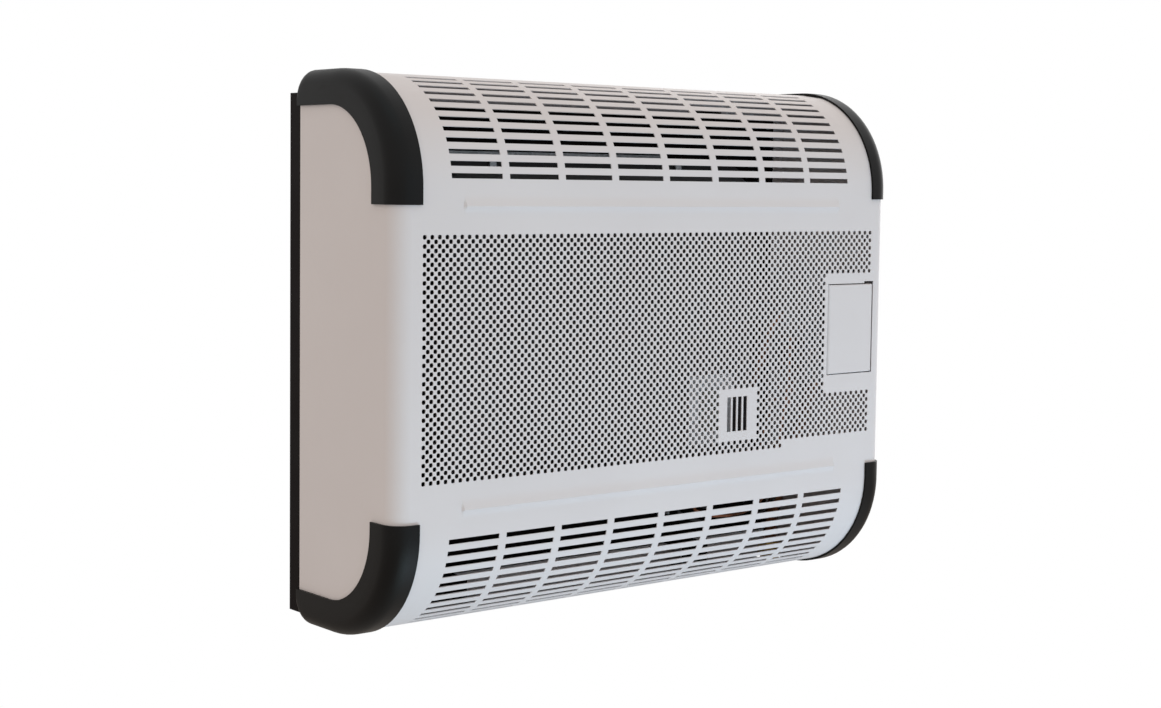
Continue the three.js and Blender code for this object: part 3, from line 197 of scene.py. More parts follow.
def blackMoulding():
    # moulded plastic with a fine spark-eroded grain and a few scuffs
    finish = Finish("blackMoulding", Specular_IOR_Level=0.15)
    cloud = finish.noise(14, 3)
    scuff = finish.ramp(finish.noise(60, 6, 0.62, (1, 1, 4)), (0.62, 0), (0.74, 1))
    colour = finish.mix(cloud, rgb(10, 9, 9), rgb(15, 14, 14))
    finish.drive("Base Color", finish.mix(scuff * 0.25, colour, rgb(36, 34, 34)))
    finish.drive("Roughness", 0.36 + 0.12 * cloud + 0.1 * scuff)
    grain = finish.cells(1500) + 0.5 * finish.noise(2600, 1)
    finish.bump(grain, 0.22, 0.00012)
    return finish.material


def blackPaint():
    # satin paint on the wall frame
    finish = Finish("blackPaint", Specular_IOR_Level=0.05)
    cloud = finish.noise(11, 3)
    finish.drive("Base Color", finish.mix(cloud, rgb(15, 11, 11), rgb(21, 16, 16)))
    finish.drive("Roughness", 0.42 + 0.18 * finish.noise(30, 4))
    finish.bump(finish.noise(700, 2), 0.16, 0.0001)
    return finish.material


def darkEnamel():
    # vitreous enamel on the combustion chamber, with small pale flecks
    finish = Finish("darkEnamel", Specular_IOR_Level=0.25)
    fleck = finish.ramp(finish.cells(900), (0.0, 1), (0.14, 0))
    cloud = finish.noise(16, 4)
    colour = finish.mix(cloud, rgb(22, 22, 25), rgb(33, 32, 35))
    finish.drive("Base Color", finish.mix(fleck * 0.4, colour, rgb(84, 84, 88)))
    finish.drive("Roughness", 0.34 + 0.2 * cloud)
    finish.bump(finish.noise(260, 3), 0.2, 0.0002)
    return finish.material


def zincSteel():
    # galvanised sheet: large dull crystals under a passivated film
    finish = Finish("zincSteel", Metallic=0.9)
    crystal = finish.cells(230, output="Color")
    shade = finish.node("ShaderNodeRGBToBW", {}, {"Color": crystal})
    finish.drive("Base Color", finish.mix(shade, rgb(150, 152, 156), rgb(196, 198, 202)))
    finish.drive("Roughness", 0.32 + 0.2 * shade)
    finish.bump(finish.noise(480, 3), 0.12, 0.0001)
    return finish.material


def flueSteel():
    # aluminised flue pipe: satin, drawn round its axis, duller in random cloudy patches
    finish = Finish("flueSteel", Metallic=0.85)
    drawn = finish.noise(420, 3, 0.6, (0.25, 1, 0.25))
    cloud = finish.noise(18, 4)
    finish.drive("Base Color", finish.mix(cloud, rgb(168, 170, 172), rgb(203, 203, 201)))
    finish.drive("Roughness", 0.3 + 0.16 * cloud + 0.1 * drawn)
    finish.bump(drawn, 0.14, 0.0001)
    return finish.material


def castAluminium():
    finish = Finish("castAluminium", Metallic=0.75)
    cloud = finish.noise(40, 4)
    finish.drive("Base Color", finish.mix(cloud, rgb(150, 152, 155), rgb(188, 189, 190)))
    finish.drive("Roughness", 0.42 + 0.2 * cloud)
    finish.bump(finish.noise(900, 4, 0.6), 0.4, 0.0002)
    return finish.material


def warmMetal(name, fresh, dull, roughness):
    # brass or copper, with dull patches of tarnish
    finish = Finish(name, Metallic=0.95)
    tarnish = finish.ramp(finish.noise(55, 5, 0.6), (0.42, 0), (0.68, 1))
    finish.drive("Base Color", finish.mix(tarnish, fresh, dull))
    finish.drive("Roughness", roughness + 0.22 * tarnish)
    finish.bump(finish.noise(1100, 2), 0.1, 0.0001)
    return finish.material


def gasketFibre():
    finish = Finish("gasketFibre", Roughness=0.92, Specular_IOR_Level=0.2)
    strand = finish.noise(700, 5, 0.7, (1, 1, 5))
    finish.drive("Base Color", finish.mix(strand, rgb(150, 144, 130), rgb(205, 200, 188)))
    finish.bump(strand, 0.6, 0.0004)
    return finish.material


def glazedCeramic():
    finish = Finish("glazedCeramic", Specular_IOR_Level=0.55)
    cloud = finish.noise(160, 3)
    finish.drive("Base Color", finish.mix(cloud, rgb(226, 221, 210), rgb(240, 237, 229)))
    finish.drive("Roughness", 0.16 + 0.16 * cloud)
    finish.bump(finish.noise(500, 2), 0.08, 0.0001)
    return finish.material


def sightGlassFinish():
    finish = Finish("sightGlass", IOR=1.47, Transmission_Weight=0.92)
    cloud = finish.noise(35, 4)
    finish.drive("Base Color", finish.mix(cloud, rgb(206, 222, 218), rgb(228, 236, 234)))
    finish.drive("Roughness", 0.04 + 0.1 * cloud)
    finish.bump(finish.noise(60, 2), 0.03, 0.0001)
    return finish.material


def rubberLead(name, light, dark):
    finish = Finish(name, Specular_IOR_Level=0.4)
    cloud = finish.noise(90, 3)
    finish.drive("Base Color", finish.mix(cloud, dark, light))
    finish.drive("Roughness", 0.45 + 0.15 * cloud)
    finish.bump(finish.noise(1400, 2), 0.12, 0.0001)
    return finish.material


def knobPlastic():
    # harder and glossier than the corner trims
    finish = Finish("knobPlastic", Specular_IOR_Level=0.5)
    cloud = finish.noise(30, 3)
    finish.drive("Base Color", finish.mix(cloud, rgb(22, 22, 23), rgb(34, 34, 35)))
    finish.drive("Roughness", 0.3 + 0.14 * cloud)
    finish.bump(finish.noise(1500, 2), 0.12, 0.0001)
    return finish.material


finishes = {
    "whitePaint": whitePaint(),
    "blackMoulding": blackMoulding(),
    "blackPaint": blackPaint(),
    "darkEnamel": darkEnamel(),
    "zincSteel": zincSteel(),
    "flueSteel": flueSteel(),
    "castAluminium": castAluminium(),
    "brass": warmMetal("brass", rgb(196, 160, 92), rgb(140, 112, 64), 0.26),
    "copper": warmMetal("copper", rgb(150, 96, 70), rgb(92, 60, 46), 0.34),
    "gasketFibre": gasketFibre(),
    "ceramic": glazedCeramic(),
    "glass": sightGlassFinish(),
    "leadSilicone": rubberLead("leadSilicone", rgb(44, 40, 40), rgb(30, 27, 27)),
    "buttonPlastic": rubberLead("buttonPlastic", rgb(150, 34, 28), rgb(122, 26, 22)),
    "knobPlastic": knobPlastic(),
}
slotFinish = {
    "white_enamel": "whitePaint",
    "black_plastic": "blackMoulding",
    "black_paint": "blackPaint",
    "dark_enamel": "darkEnamel",
    "zinc_steel": "zincSteel",
    "flue_steel": "flueSteel",
    "cast_aluminium": "castAluminium",
    "brass": "brass",
    "copper": "copper",
    "fibre_gasket": "gasketFibre",
    "ceramic": "ceramic",
    "glass": "glass",
    "silicone_lead": "leadSilicone",
    "red_plastic": "buttonPlastic",
}
print("materials made:", len(finishes))


# Helpers for new pieces

alongY = Vector((0, 1, 0))
alongZ = Vector((0, 0, 1))


def millimetres(table):
    return {name: value * mm for name, value in table.items()}


def finishPiece(name, bm, slot, body, replaced=(), smoothAngle=35, finish=None):
    mesh = bpy.data.meshes.new(name)
    bm.to_mesh(mesh)
    bm.free()
    mesh.shade_smooth()
    mesh.set_sharp_from_angle(angle=math.radians(smoothAngle))
    mesh.materials.append(finishes[finish or slotFinish[slot]])
    piece = bpy.data.objects.new(name, mesh)
    bpy.context.scene.collection.objects.link(piece)
    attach(piece, body)
    if replaced:
        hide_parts(*replaced)
    return piece


def weighNormals(piece):
    weigh = piece.modifiers.new("weighNormals", "WEIGHTED_NORMAL")
    weigh.keep_sharp = True


def facesAt(bm, verts):
    # in the mesh's own order, so that each run makes the same mesh
    made = {face for vert in verts for face in vert.link_faces}
    return [face for face in bm.faces if face in made]


def newVerts(made):
    return [item for item in made["geom"] if isinstance(item, bmesh.types.BMVert)]


def middleOf(node, axis):
    # on the node's own axis, at zero along it
    low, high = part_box(node)
    middle = (low + high) / 2
    return middle - axis * middle.dot(axis)


def turned(bm, profile, middle, axis, steps=72):
    # a full turn of (radius, place along the axis) pairs, in millimetres
    points = [middle + Vector((radius * mm, 0, 0)) + axis * place * mm for radius, place in profile]
    corners = [bm.verts.new(point) for point in points]
    edges = [bm.edges.new(pair) for pair in zip(corners, corners[1:])]
    bmesh.ops.spin(
        bm,
        geom=corners + edges,
        cent=middle,
        axis=axis,
        dvec=(0, 0, 0),
        angle=2 * math.pi,
        steps=steps,
        use_merge=True,
        use_duplicate=False,
    )
    bmesh.ops.remove_doubles(bm, verts=bm.verts, dist=hair / 10)
    bmesh.ops.recalc_face_normals(bm, faces=bm.faces)


def roundedBox(bm, middle, sizes, segments):
    # a block between two corners about the middle, in millimetres
    low = middle + Vector(sizes["low"]) * mm
    high = middle + Vector(sizes["high"]) * mm
    made = bmesh.ops.create_cube(bm, size=1)
    bmesh.ops.scale(bm, vec=high - low, verts=made["verts"])
    bmesh.ops.translate(bm, vec=(low + high) / 2, verts=made["verts"])
    edges = [edge for edge in bm.edges if all(vert in made["verts"] for vert in edge.verts)]
    bmesh.ops.bevel(
        bm,
        geom=edges,
        offset=sizes["round"] * mm,
        offset_type="OFFSET",
        segments=segments,
        profile=0.5,
        affect="EDGES",
        material=-1,
    )


def onCircle(radius, degrees):
    turn = math.radians(degrees)
    return radius * math.cos(turn), radius * math.sin(turn)


def ring(radius, count, start=0):
    return [onCircle(radius, start + 360 * step / count) for step in range(count)]


def outline(bm, points):
    corners = [bm.verts.new(point) for point in points]
    return [bm.edges.new(pair) for pair in zip(corners, corners[1:] + corners[:1])]


def boxOutline(x0, x1, z0, z1):
    return [(x0, z0, 0), (x1, z0, 0), (x1, z1, 0), (x0, z1, 0)]


def gridOf(bm, columns, rows):
    # a flat sheet with lines at these places
    last = (len(columns) - 1, len(rows) - 1)
    made = bmesh.ops.create_grid(bm, x_segments=last[0], y_segments=last[1], size=1)
    for vert in made["verts"]:
        column = round((vert.co.x + 1) / 2 * last[0])
        row = round((vert.co.y + 1) / 2 * last[1])
        vert.co = (columns[column], rows[row], 0)
    return made["verts"]


def flipOutwards(bm, centre):
    # for a sheet that is still open
    away = sum(face.normal.dot(face.calc_center_median() - centre) * face.calc_area() for face in bm.faces)
    if away < 0:
        bmesh.ops.reverse_faces(bm, faces=bm.faces)


# Casing: drawn flat, pierced, folded, then given its thickness

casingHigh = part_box("front_casing")[1]
casing = millimetres({
    "sheet": 0.8,
    "curl": 97.7,  # radii of the folds
    "bend": 16,
    "topBend": 10,  # what the bend tightens to along the curl
    "rearRoll": 11,
    "sideReturn": 14,  # how far in the rear edge is folded
    "topReturn": 22,
})
halfWidth = casingHigh.x
halfHeight = casingHigh.z
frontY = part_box("control_door")[0].y
backY = casingHigh.y

# distances from the middle along the sheet, up and down first
curlStart = halfHeight - casing["curl"]
curlEnd = curlStart + casing["curl"] * math.pi / 2
topEnd = curlEnd + backY - casing["rearRoll"] - frontY - casing["curl"]
rollEnd = topEnd + casing["rearRoll"] * math.pi / 2
rollSteps = 5

# and sideways
bendStart = halfWidth - casing["bend"]
bendSteps = 8
bendLines = [bendStart + casing["bend"] * math.pi / 2 * step / bendSteps for step in range(bendSteps + 1)]

pressX = -1.4 * mm  # middle of the slot columns and of the ridges
vents = millimetres({
    "width": 52.4,
    "height": 4.4,
    "columnPitch": 60,
    "rowPitch": 10.32,
    "firstRow": 11.3,  # past the start of the curl
    "drop": 0.45,  # both sets of rows sit this much low
})
ventCounts = {"columns": 8, "rows": 12}
ridge = millimetres({
    "length": 448.5,
    "rise": 2.6,
    "fromCurl": 14.3,  # from the crest to the start of the curl
    "end": 1.8,
    "evenAbove": 4.5,  # the even slope above the crest, before it flattens out
    "evenBelow": 0.3,
    "above": 11.5,  # the whole reach above the crest
    "below": 7.5,
})
ridgeSteps = (0.3, 0.9, 1.8, 3, 4.5, 5.5, 6.5, 7.5, 9, 11.5)  # millimetres from the crest
field = millimetres({"pitch": 7.5, "left": -264.375, "top": 101.25, "edge": 112})
fieldCounts = {"columns": 143, "rows": 55, "diamonds": 105}  # diamonds along a side of the turned grid
fieldMiddle = {"column": 70, "row": 28}  # the turned grid's middle hole
hole = millimetres({"side": 1.98, "corner": 1.6})  # half its width, at its sides and at its soft corners
blanks = [  # left, right, bottom and top, in millimetres
    (68.5, 115.3, -91.5, -43.5),  # round the flame window
    (205.5, 300, -54.5, 62),  # round the door
    (149, 300, -105, -95),  # below the last holes on the right
]
window = millimetres({"x": 90.6, "z": -66.9, "slot": 4.8, "height": 32.4, "pitch": 6.9})
windowSlots = 4
opening = millimetres({
    "left": 210,
    "right": 274.2,
    "bottom": -37,
    "top": 51.7,
    "notch": 13,
    "notchRise": 1.8,
})
unionHole = millimetres({"x": 252, "y": -52, "radius": 15})
screwHoles = millimetres({"x": 150, "radius": 2.4})


def foldPoint(across, run, grow=0.0):
    # where a point of the flat sheet lies on the folded casing, grown outwards
    distance = abs(run)
    bent = min(max(distance, curlStart), curlEnd) - curlStart
    bend = casing["bend"] + (casing["topBend"] - casing["bend"]) * bent / (curlEnd - curlStart)
    turn = max(abs(across) - bendStart, 0) / casing["bend"]
    x = across
    if abs(across) > bendStart - hair:
        x = math.copysign(halfWidth - bend + (bend + grow) * math.sin(turn), across)
    drop = (bend + grow) * (1 - math.cos(turn)) - grow
    if distance < curlEnd:
        angle = max(distance - curlStart, 0) / casing["curl"]
        radius = casing["curl"] - drop
        y = frontY + casing["curl"] - radius * math.cos(angle)
        z = min(distance, curlStart) + radius * math.sin(angle)
    elif distance < topEnd:
        y = frontY + casing["curl"] + distance - curlEnd
        z = halfHeight - drop
    else:
        angle = (distance - topEnd) / casing["rearRoll"]
        radius = casing["rearRoll"] + grow
        y = backY - casing["rearRoll"] + radius * math.sin(angle)
        z = halfHeight - casing["rearRoll"] - drop - grow + radius * math.cos(angle)
    return Vector((x, y, math.copysign(z, run)))


def ventColumns():
    middle = (ventCounts["columns"] - 1) / 2
    for column in range(ventCounts["columns"]):
        yield pressX + (column - middle) * vents["columnPitch"]


def ventRows(side):
    # how far from the middle, on the upper (1) or the lower (-1) curl
    for row in range(ventCounts["rows"]):
        yield curlStart + vents["firstRow"] - side * vents["drop"] + row * vents["rowPitch"]


def isVent(x, run):
    inColumn = any(abs(x - column) < vents["width"] / 2 for column in ventColumns())
    rows = ventRows(math.copysign(1, run))
    return inColumn and any(abs(abs(run) - row) < vents["height"] / 2 for row in rows)


def crossLines():
    lines = set()
    for column in ventColumns():
        lines.update((column - vents["width"] / 2, column + vents["width"] / 2))
    for side in (-1, 1):
        end = pressX + side * ridge["length"] / 2
        lines.update((end, end - side * ridge["end"] / 2, end - side * ridge["end"]))
        lines.update(side * line for line in bendLines)
    return sorted({round(line, 7) for line in lines})


def runLines(side):
    crest = curlStart - ridge["fromCurl"]
    lines = {field["edge"], crest, curlStart, curlEnd, topEnd}
    for step in ridgeSteps:
        lines.update((crest - step * mm, crest + step * mm))
    for row in ventRows(side):
        lines.update((row - vents["height"] / 2, row + vents["height"] / 2))
    lines.update(topEnd + (rollEnd - topEnd) * step / rollSteps for step in range(1, rollSteps + 1))
    return sorted({round(line, 7) for line in lines})


def slopeDown(distance, even, reach):
    # from 1 at the crest: an even slope first, then one that flattens out
    easing = reach - even
    whole = even + easing / 2
    if distance < even:
        return 1 - distance / whole
    return max(reach - distance, 0) ** 2 / (2 * easing * whole)


def ridgeRise(x, z):
    # how far the front stands out there, on a low ridge that is steeper below its crest
    crest = math.copysign(curlStart - ridge["fromCurl"], z)
    if z > crest:
        height = slopeDown(z - crest, ridge["evenAbove"], ridge["above"])
    else:
        height = slopeDown(crest - z, ridge["evenBelow"], ridge["below"])
    fromEnd = (ridge["length"] / 2 - abs(x - pressX)) / ridge["end"]
    return ridge["rise"] * height * min(max(fromEnd, 0), 1)


def isUnderside(element):
    # a face or edge in the flat strip below, between the bends
    return all(
        abs(vert.co.x) < bendStart + slack and curlEnd - slack < -vert.co.y < topEnd + slack
        for vert in element.verts
    )


def isFront(edge):
    # in the flat front, between the ridges' strips and between the bends
    return all(
        abs(vert.co.x) < bendStart + slack and abs(vert.co.y) < field["edge"] + slack
        for vert in edge.verts
    )


def curledPatch(bm, side):
    # one curl with its ridge and its slots, upper (1) or lower (-1)
    rows = [side * line for line in runLines(side)]
    faces = facesAt(bm, gridOf(bm, crossLines(), rows))
    pierced = [face for face in faces if isVent(*face.calc_center_median().xy)]
    if side < 0:  # this strip is filled again, round the holes for screws and union
        pierced += [face for face in faces if isUnderside(face)]
    bmesh.ops.delete(bm, geom=pierced, context="FACES")


def hasHole(x, z):
    # whether the perforation has a hole there, if it is one of the lattice's places
    right = field["left"] + (fieldCounts["columns"] - 1) * field["pitch"] / 2
    bottom = field["top"] - (fieldCounts["rows"] - 1) * field["pitch"] / 2
    if not (field["left"] - slack < x < right + slack and bottom - slack < z < field["top"] + slack):
        return False
    return not any(x0 * mm < x < x1 * mm and z0 * mm < z < z1 * mm for x0, x1, z0, z1 in blanks)


def perforatedField(bm):
    # diamonds side by side, each with a hole in it
    half = field["pitch"] / 2
    side = half * math.sqrt(2)
    count = fieldCounts["diamonds"]
    middle = (field["left"] + fieldMiddle["column"] * half, field["top"] - fieldMiddle["row"] * half, 0)
    turn = Matrix.Translation(middle) @ Matrix.Rotation(math.radians(45), 4, "Z")
    made = bmesh.ops.create_grid(bm, x_segments=count, y_segments=count, size=count * side / 2, matrix=turn)
    faces = facesAt(bm, made["verts"])
    plain = [face for face in faces if not hasHole(*face.calc_center_median().xy)]
    pierced = [face for face in faces if hasHole(*face.calc_center_median().xy)]
    bmesh.ops.delete(bm, geom=plain, context="FACES")
    rim = (side - hole["side"] * math.sqrt(2)) / 2
    bmesh.ops.inset_individual(bm, faces=pierced, thickness=rim, use_even_offset=True)
    rims = [edge for face in pierced for edge in face.edges]
    bmesh.ops.subdivide_edges(bm, edges=rims, cuts=1)
    for face in pierced:
        centre = face.calc_center_median()
        for vert in face.verts:
            away = vert.co - centre
            onSide = min(abs(away.x), abs(away.y)) < slack
            reach = hole["side"] if onSide else hole["corner"] * math.sqrt(2)
            vert.co = centre + away.normalized() * reach
    bmesh.ops.delete(bm, geom=pierced, context="FACES")


def flatFront(bm):
    perforatedField(bm)
    wide = window["slot"] / 2
    high = window["height"] / 2
    for slot in range(windowSlots):
        x = window["x"] + (slot - (windowSlots - 1) / 2) * window["pitch"]
        outline(bm, boxOutline(x - wide, x + wide, window["z"] - high, window["z"] + high))
    left, right, bottom, top = (opening[name] for name in ("left", "right", "bottom", "top"))
    notchLeft = right - opening["notch"]
    notchTop = top + opening["notchRise"]
    outline(bm, [
        (left, bottom, 0),
        (right, bottom, 0),
        (right, notchTop, 0),
        (notchLeft, notchTop, 0),
        (notchLeft, top, 0),
        (left, top, 0),
    ])


def roundHole(bm, x, y, radius):
    # through the casing's underside, for what stands at this x and y
    run = -(curlEnd + y - frontY - casing["curl"])
    outline(bm, [(x + across, run + along, 0) for across, along in ring(radius, 32)])


def undersideHoles(bm):
    screwY = middleOf("casing_screw_left", alongZ).y
    for side in (-1, 1):
        roundHole(bm, side * screwHoles["x"], screwY, screwHoles["radius"])
    roundHole(bm, unionHole["x"], unionHole["y"], unionHole["radius"])


def openEdgesOf(bm, within):
    # loose edges, and edges with a face on one side alone
    return [edge for edge in bm.edges if len(edge.link_faces) < 2 and within(edge)]


def isHoleRim(edge):
    # a field hole's own edges, which stay open
    centre = (edge.verts[0].co + edge.verts[1].co) / 2
    half = field["pitch"] / 2
    column = round((centre.x - field["left"]) / half)
    row = round((field["top"] - centre.y) / half)
    middle = Vector((field["left"] + column * half, field["top"] - row * half, 0))
    near = (centre - middle).length < hole["corner"] * math.sqrt(2)
    return (column + row) % 2 == 0 and near and hasHole(*middle.xy)


def isRear(vert):
    return abs(vert.co.y - backY) < hair


def closeSides(bm):
    # flat sheets inside the bends' rims
    for side in (-1, 1):
        rim = {vert for vert in bm.verts if abs(vert.co.x - side * halfWidth) < hair}
        bm.edges.new([vert for vert in bm.verts if vert in rim and isRear(vert)])
        edges = [edge for edge in bm.edges if rim.issuperset(edge.verts)]
        bmesh.ops.edgeloop_fill(bm, edges=edges)


def addReturns(bm):
    # the rear rim, folded inwards
    rim = [edge for edge in bm.edges if edge.is_boundary and all(isRear(vert) for vert in edge.verts)]
    made = bmesh.ops.extrude_edge_only(bm, edges=rim)
    reachX = halfWidth - casing["sideReturn"]
    reachZ = halfHeight - casing["topReturn"]
    for vert in newVerts(made):
        vert.co.x = min(max(vert.co.x, -reachX), reachX)
        vert.co.z = min(max(vert.co.z, -reachZ), reachZ)


def casingSheet():
    bm = bmesh.new()
    curledPatch(bm, 1)
    curledPatch(bm, -1)
    for side in (-1, 1):
        gridOf(bm, sorted(side * line for line in bendLines), [-field["edge"], field["edge"]])
    flatFront(bm)
    undersideHoles(bm)
    bmesh.ops.remove_doubles(bm, verts=bm.verts, dist=hair)
    for within in (isFront, isUnderside):
        rims = [edge for edge in openEdgesOf(bm, within) if not isHoleRim(edge)]
        bmesh.ops.triangle_fill(bm, use_beauty=True, use_dissolve=False, edges=rims)
    print("flat sheet:", len(bm.faces), "faces")
    for vert in bm.verts:
        rise = ridgeRise(*vert.co.xy)
        vert.co = foldPoint(*vert.co.xy) - Vector((0, rise, 0))
    closeSides(bm)
    addReturns(bm)
    bmesh.ops.remove_doubles(bm, verts=bm.verts, dist=hair)
    bmesh.ops.recalc_face_normals(bm, faces=bm.faces)
    bmesh.ops.solidify(bm, geom=bm.faces, thickness=casing["sheet"])
    return finishPiece("casingSheet", bm, "white_enamel", "heater", ["front_casing"])


weighNormals(casingSheet())
print("casing made")


# Corner trims

trim = millimetres({
    "gap": 0.3,
    "thickness": 2,
    "longWidth": 24.9,  # on the front
    "shortWidth": 23.7,
    "longLeg": 13.3,  # past the start of the curl
    "shortLeg": 6.7,
    "sideFront": 33.2,
    "sideTop": 28.4,
    "rimRound": 0.7,
    "legSpan": 16,  # stands for the side leg's width in the flat grid
})
trimSteps = {"curl": 22, "roll": 6}


def trimRuns(pastCurl):
    curl, roll = trimSteps["curl"], trimSteps["roll"]
    lines = [curlStart - pastCurl, curlStart]
    lines += [curlStart + (curlEnd - curlStart) * step / curl for step in range(1, curl + 1)]
    lines += [(curlEnd + topEnd) / 2, topEnd]
    return lines + [topEnd + (rollEnd - topEnd) * step / roll for step in range(1, roll + 1)]


def legEdge(run, grow):
    # where the leg on the casing's side ends
    outer = foldPoint(bendLines[-1], run, grow)
    edge = outer.copy()
    curl = casing["curl"]
    if run < curlEnd:
        angle = max(run - curlStart, 0) / curl
        edge.y = frontY + curl - (curl - trim["sideFront"]) * math.cos(angle)
        edge.z = min(run, curlStart) + (curl - trim["sideTop"]) * math.sin(angle)
    else:
        edge.z = halfHeight - trim["sideTop"]
    return edge


def cadTrimName(sideX, sideZ):
    upDown = "upper" if sideZ > 0 else "lower"
    return f"corner_trim_{upDown}_{'right' if sideX > 0 else 'left'}"


def cornerTrim(name, sideX, sideZ):
    # long ones at the upper left and lower right
    kind = "long" if sideX * sideZ < 0 else "short"
    grow = trim["gap"] + trim["thickness"]
    inner = halfWidth - trim[f"{kind}Width"]
    bendEnd = bendLines[-1]
    columns = [inner, (inner + bendStart) / 2, *bendLines]
    columns += [bendEnd + trim["legSpan"] / 2, bendEnd + trim["legSpan"]]
    bm = bmesh.new()
    for vert in gridOf(bm, columns, trimRuns(trim[f"{kind}Leg"])):
        across, run = vert.co.xy
        vert.co = foldPoint(min(across, bendEnd), run, grow)
        if across > bendEnd + hair:
            vert.co = vert.co.lerp(legEdge(run, grow), (across - bendEnd) / trim["legSpan"])
    bmesh.ops.scale(bm, vec=(sideX, 1, sideZ), verts=bm.verts)
    bmesh.ops.recalc_face_normals(bm, faces=bm.faces)
    flipOutwards(bm, Vector((0, 0, 0)))
    bmesh.ops.solidify(bm, geom=bm.faces, thickness=trim["thickness"])
    piece = finishPiece(name, bm, "black_plastic", "heater", [cadTrimName(sideX, sideZ)])
    rounding = piece.modifiers.new("rounding", "BEVEL")
    rounding.width = trim["rimRound"]
    rounding.segments = 3
    rounding.limit_method = "ANGLE"
    rounding.angle_limit = math.radians(50)
    rounding.harden_normals = True


cornerTrim("cornerTrimUpperLeft", -1, 1)
cornerTrim("cornerTrimUpperRight", 1, 1)
cornerTrim("cornerTrimLowerLeft", -1, -1)
cornerTrim("cornerTrimLowerRight", 1, -1)
print("corner trims made")


# Door: a drawn tray, rolled round its hinge pins

door = millimetres({
    "sheet": 1.2,
    "bend": 1.5,
    "flange": 6,
    "roll": 4,  # outer radius of the barrel round the hinge pins
    "gap": 0.8,
    "topGap": 1,
})
door["top"] = opening["top"] - door["topGap"]
door["bottom"] = opening["bottom"] + door["gap"]
door["right"] = opening["right"] - door["gap"]
door["hinge"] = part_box("control_door")[0].x + door["roll"]
rollTurn = math.radians(285)  # of the barrel
doorSteps = {"bend": 5, "roll": 20}


def bendSpread(start):
    # lines over a bend that starts there, and over its flange
    arc = door["bend"] * math.pi / 2
    lines = [start + arc * step / doorSteps["bend"] for step in range(doorSteps["bend"] + 1)]
    return lines + [lines[-1] + door["flange"] - door["bend"]]


def bentPast(distance):
    # how far a bend has turned, and how much flange follows it
    arc = door["bend"] * math.pi / 2
    return min(max(distance, 0), arc) / door["bend"], max(distance - arc, 0)


def doorPoint(across, up, half, middle):
    # where a point of the flat door lies, bent and rolled
    right = door["right"] - door["bend"]
    turnX, pastX = bentPast(across - right)
    turnZ, pastZ = bentPast(abs(up) - half)
    if across < door["hinge"]:
        turn = (door["hinge"] - across) / door["roll"]
        x = door["hinge"] - door["roll"] * math.sin(turn)
        z = min(abs(up), half) + door["bend"] * math.sin(turnZ)
        return Vector((x, frontY + door["roll"] * (1 - math.cos(turn)), middle + math.copysign(z, up)))
    outX, outZ = math.sin(turnX), math.sin(turnZ)
    x = min(across, right) + door["bend"] * outX * math.sqrt(1 - outZ**2 / 2)
    z = min(abs(up), half) + door["bend"] * outZ * math.sqrt(1 - outX**2 / 2)
    depth = door["bend"] * (1 - math.cos(turnX) * math.cos(turnZ)) + pastX + pastZ
    return Vector((x, frontY + depth, middle + math.copysign(z, up)))


def controlDoor():
    half = (door["top"] - door["bottom"]) / 2 - door["bend"]
    middle = (door["top"] + door["bottom"]) / 2
    rolled = door["roll"] * rollTurn
    columns = [door["hinge"] - rolled * step / doorSteps["roll"] for step in range(doorSteps["roll"], -1, -1)]
    columns += bendSpread(door["right"] - door["bend"])
    rows = bendSpread(half)
    rows = [-line for line in reversed(rows)] + rows
    bm = bmesh.new()
    spare = []
    for face in facesAt(bm, gridOf(bm, columns, rows)):
        across, up = face.calc_center_median().xy
        pastX = bentPast(across - door["right"] + door["bend"])[1]
        pastZ = bentPast(abs(up) - half)[1]
        if pastZ > 0 and (pastX > 0 or across < door["hinge"]):
            spare.append(face)
    bmesh.ops.delete(bm, geom=spare, context="FACES")
    for vert in bm.verts:
        vert.co = doorPoint(*vert.co.xy, half, middle)
    bmesh.ops.remove_doubles(bm, verts=bm.verts, dist=hair)
    bmesh.ops.recalc_face_normals(bm, faces=bm.faces)
    inside = ((door["hinge"] + door["right"]) / 2, frontY + door["flange"] / 2, middle)
    flipOutwards(bm, Vector(inside))
    bmesh.ops.solidify(bm, geom=bm.faces, thickness=door["sheet"])
    return finishPiece("controlDoor", bm, "white_enamel", "door", ["control_door"])


weighNormals(controlDoor())
print("door made")


# Controls: sizes and outlines in millimetres, fronts at a smaller y

knobMiddle = middleOf("control_knob", alongY)
stemLow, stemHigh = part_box("control_stem")
stemGap = 0.3
knob = {
    "boreRadius": (stemHigh.x - stemLow.x) / 2 / mm + stemGap,
    "boreEnd": stemLow.y / mm - stemGap,
    "flutes": 18,
    "fluteDepth": 0.4,
    "fluteInner": 14.2,  # radius from which the skirt is fluted
    "steps": 144,
}
grip = {"low": (-3, -158.9, -12.5), "high": (3, -155, 12.5), "round": 1.2}
pointer = {"low": (-0.6, -159, 4), "high": (0.6, -158.6, 10.6), "round": 0.1}


